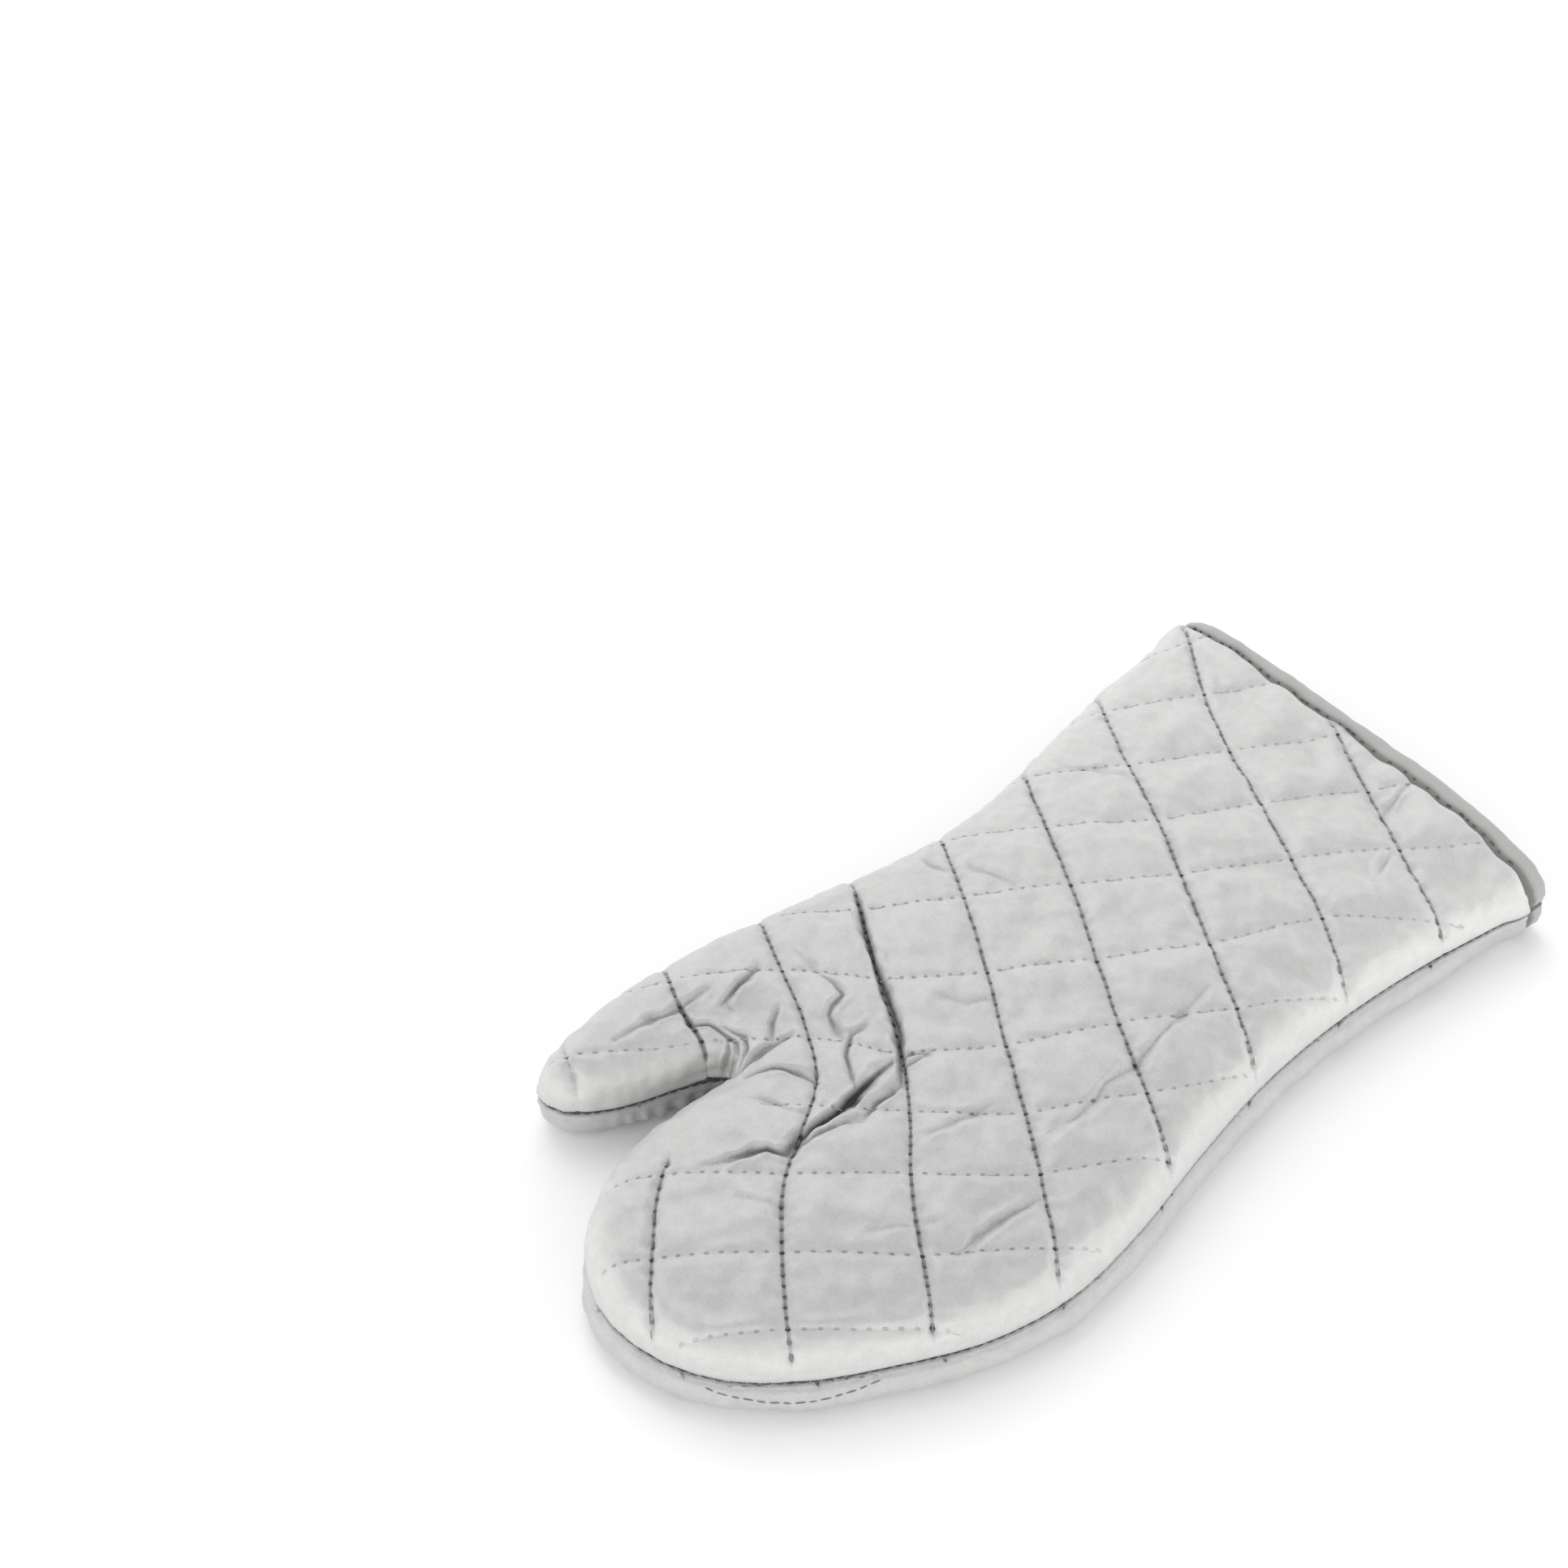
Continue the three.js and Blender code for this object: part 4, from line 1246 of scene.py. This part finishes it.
def band_stitches():
    """The end of one sewn line of the palm, found by rays from outside the wall."""
    palm = surface_of(PANELS["palm_panel"][0])
    ends = seam_place(np.array(BAND["ends"], float))[1]
    holes, facings = [], []
    for share in np.linspace(0, 1, BAND["stitches"]):
        nearest = round(ends[0] + share * (ends[1] - ends[0]))
        inward = Vector((*SEAM_INWARD[nearest], 0))
        height = BAND["height"] - BAND["dip"] * math.sin(math.pi * share)
        start = Vector((*SEAM[nearest], height)) - inward * 20
        spot, facing, _, _ = palm.ray_cast(start * MM, inward)
        holes.append(np.array(spot) / MM)
        facings.append(np.array(facing))
    return stitch_row(holes, facings, BAND["weight"])


threads.append(thread_piece("side_seam_thread", seam_stitches(), "dark_thread"))
threads.append(thread_piece("band_thread", band_stitches(), "thread"))

# %% [markdown]
# ## The cuff binding
#
# A strip of bias tape is folded over the raw cuff edge and sewn through. The packed pieces have
# its section. Bias tape puckers where it is sewn and bulges between, so a copy is subdivided and
# given small waves.

# %% Wrinkled tape
LIP_THICKNESS = 1.6
TAPE_FIT = {"squeeze": 0.9, "rounds": 30, "end": 0.7}
# Painted shade on the tape's outer face, beside the panel's lip that overhangs it.
TUCK_SHADE = {"reach": 3.2, "fade": 3.0, "most": 0.85}


def wrinkled_tape(node, name):
    """A copy of a packed binding piece with the waves of sewn tape, squeezed on to its panel."""
    piece = merged_copy(
        node, name, (bpy.ops.mesh.tris_convert_to_quads, {}),
        (bpy.ops.mesh.subdivide, {"number_cuts": 3, "smoothness": 0}),
    )
    rounder = piece.modifiers.new("rounder", "SUBSURF")
    rounder.levels = 1
    rounder.render_levels = 1
    bpy.ops.object.modifier_apply(modifier=rounder.name)
    points, normals = read_points(piece)
    pucker = 0.06 * waves(points * (1, 1, 0.5), 5.0, seed=21) + 0.05 * waves(points, 15, seed=22)
    points = points + normals * pucker[:, None]
    beside = surface_of(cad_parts[node.replace("cuff_binding", "panel")])
    facings = np.array([beside.find_nearest(Vector(point * MM))[1] for point in points])
    facings[np.abs(facings[:, 1]) > TAPE_FIT["end"]] = 0
    squeeze = facings * HEM_SQUEEZE * TAPE_FIT["squeeze"]
    points -= relax(squeeze, read_edges(piece), 0.5, TAPE_FIT["rounds"])
    points[:, 2] = np.maximum(points[:, 2], 0)
    # Painted shade on the outer face of the tape, next to the panel's lip.
    past_lip = -before_hem(points[:, :2]) - lip_reach(points[:, :2]) - LIP_THICKNESS
    outwards = (normals * (points - (points[:, 0].mean(), 0, SEAM_HEIGHT)))[:, [0, 2]].sum(1) > 0
    tucked = smooth_step(TUCK_SHADE["reach"] - past_lip, 0, TUCK_SHADE["fade"])
    keep_number(piece, "tucked", tucked * TUCK_SHADE["most"] * outwards)
    write_points(piece, points)
    dress(piece, "binding_cloth")
    print(f"{name}: {len(points)} points")
    return piece


tapes = {
    f"{side}_cuff_binding": wrinkled_tape(f"{side}_cuff_binding", f"cuff_tape_{side}")
    for side in ("back", "palm")
}

# %% Sew the tape
TAPE_SEAM = {"from": -84, "to": 68, "step": 0.5, "past_lip": 0.3}


def tape_stitches(tape):
    """Uneven dark stitches where the puffed panel meets the tape."""
    chance = np.random.default_rng(8)
    across = np.arange(TAPE_SEAM["from"], TAPE_SEAM["to"], TAPE_SEAM["step"])
    edge = np.c_[across, CUFF_PLACE + CUFF_SLANT * across - HEM]
    edge[:, 1] += lip_reach(edge) + LIP_THICKNESS + TAPE_SEAM["past_lip"]
    tree = surface_of(tape)
    stitches = []
    number = 0
    while number < len(edge) - 8:
        last = number + int(chance.integers(3, 7))
        ends = [drop(tree, edge[index], 1) for index in (number, last)]
        if None not in ends:
            holes, facings = zip(*ends)
            stitches += stitch_row(holes, facings, chance.uniform(0.9, 1.9))
        number += int(chance.integers(5, 14))
    return stitches


rows = tape_stitches(tapes["back_cuff_binding"])
threads.append(thread_piece("tape_thread", rows, "dark_thread"))

# %% [markdown]
# ## The bow of the cuff
#
# The packed cuff ends in a straight line. In the photograph the cuff's edge bows out a little, so
# every piece is moved along Y near the cuff, most of all in the middle of the bow.

# %% Bow the cuff out
CUFF_BOW = {"most": 2.2, "middle": 28, "width": 36, "fade": 45}


def bow_out(piece):
    """Moves the piece's points near the cuff outwards, and fades the move out up the wrist."""
    points, _ = read_points(piece)
    bell = np.exp(-((points[:, 0] - CUFF_BOW["middle"]) / CUFF_BOW["width"]) ** 2)
    near_cuff = smooth_step(-before_hem(points[:, :2]), -CUFF_BOW["fade"], 0)
    points[:, 1] += CUFF_BOW["most"] * bell * near_cuff
    write_points(piece, points)


for piece in [piece for piece, _ in PANELS.values()] + list(tapes.values()) + threads:
    bow_out(piece)
print("the cuff bows out by", CUFF_BOW["most"], "mm")

# %% [markdown]
# ## What each piece stands for
#
# Every piece rides on the mitt's one body. The two panels and the two tapes replace their packed
# nodes.

for node, (piece, _) in PANELS.items():
    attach(piece, "root")
    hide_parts(node)
for node, tape in tapes.items():
    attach(tape, "root")
    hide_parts(node)
for thread in threads:
    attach(thread, "root")
print("declared", len(PANELS) + len(tapes) + len(threads), "pieces")

# %% [markdown]
# ## Floor and light
#
# The photograph is a cut-out on white with a soft shadow to the lower right. A big soft lamp to
# the upper left gives that shadow. The sky is bright near the horizon and greyer overhead, so the
# satin cloth looks light where it curves away at the rim and calm grey on its flat top.
# The cloth's light rim is partly painted light in its colour.

# %% Floor
bpy.ops.mesh.primitive_plane_add(size=6, location=(0, 0, 0))
floor = bpy.context.object
floor.name = "pale_floor"
edit(floor, (bpy.ops.mesh.subdivide, {"number_cuts": 3}))
floor_finish = Finish("floor", Roughness=0.9)
floor_shade = floor_finish.tint(floor_finish.speckle(300.0), (0.93,) * 3, (0.95,) * 3)
floor_finish.set(Base_Color=floor_shade)
floor.data.materials.append(floor_finish.material)
floor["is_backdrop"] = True
print("the floor is 6 m wide")

# %% Sky and lamps
SKY_STOPS = [(0.15, (1.0, 1.0, 1.0)), (0.8, (0.225, 0.225, 0.228))]
SKY_STRENGTH = 2.25


def add_lamp(name, place, size, power):
    """A square soft lamp that shines at the mitt. place is in metres."""
    bpy.ops.object.light_add(type="AREA", location=place)
    lamp = bpy.context.object
    lamp.name = name
    lamp.data.size = size
    lamp.data.energy = power
    lamp.rotation_mode = "QUATERNION"
    lamp.rotation_quaternion = (-Vector(place)).to_track_quat("-Z", "Y")


def add_sky():
    """A sky that is white at the horizon and greyer overhead."""
    world = bpy.data.worlds.new("studio")
    bpy.context.scene.world = world
    sky = Nodes(world, "Background")
    height = sky.part(sky.add("ShaderNodeTexCoord", output="Generated"), "Z")
    sky.set(Color=sky.ramp(height, SKY_STOPS), Strength=SKY_STRENGTH)


add_sky()
add_lamp("key_lamp", (-1.25, 0.45, 2.3), 1.6, 20)
add_lamp("front_lamp", (1.4, -1.1, 1.3), 1.6, 1.5)
bpy.context.scene.view_settings.view_transform = "Standard"
print("sky and two lamps")

# %% Print the sizes and finish
visual_box = [list(corner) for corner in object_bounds()]
for name, box in (("cad", CAD_BOX), ("visual", visual_box)):
    print(name, [[round(value * 1000, 1) for value in corner] for corner in box])
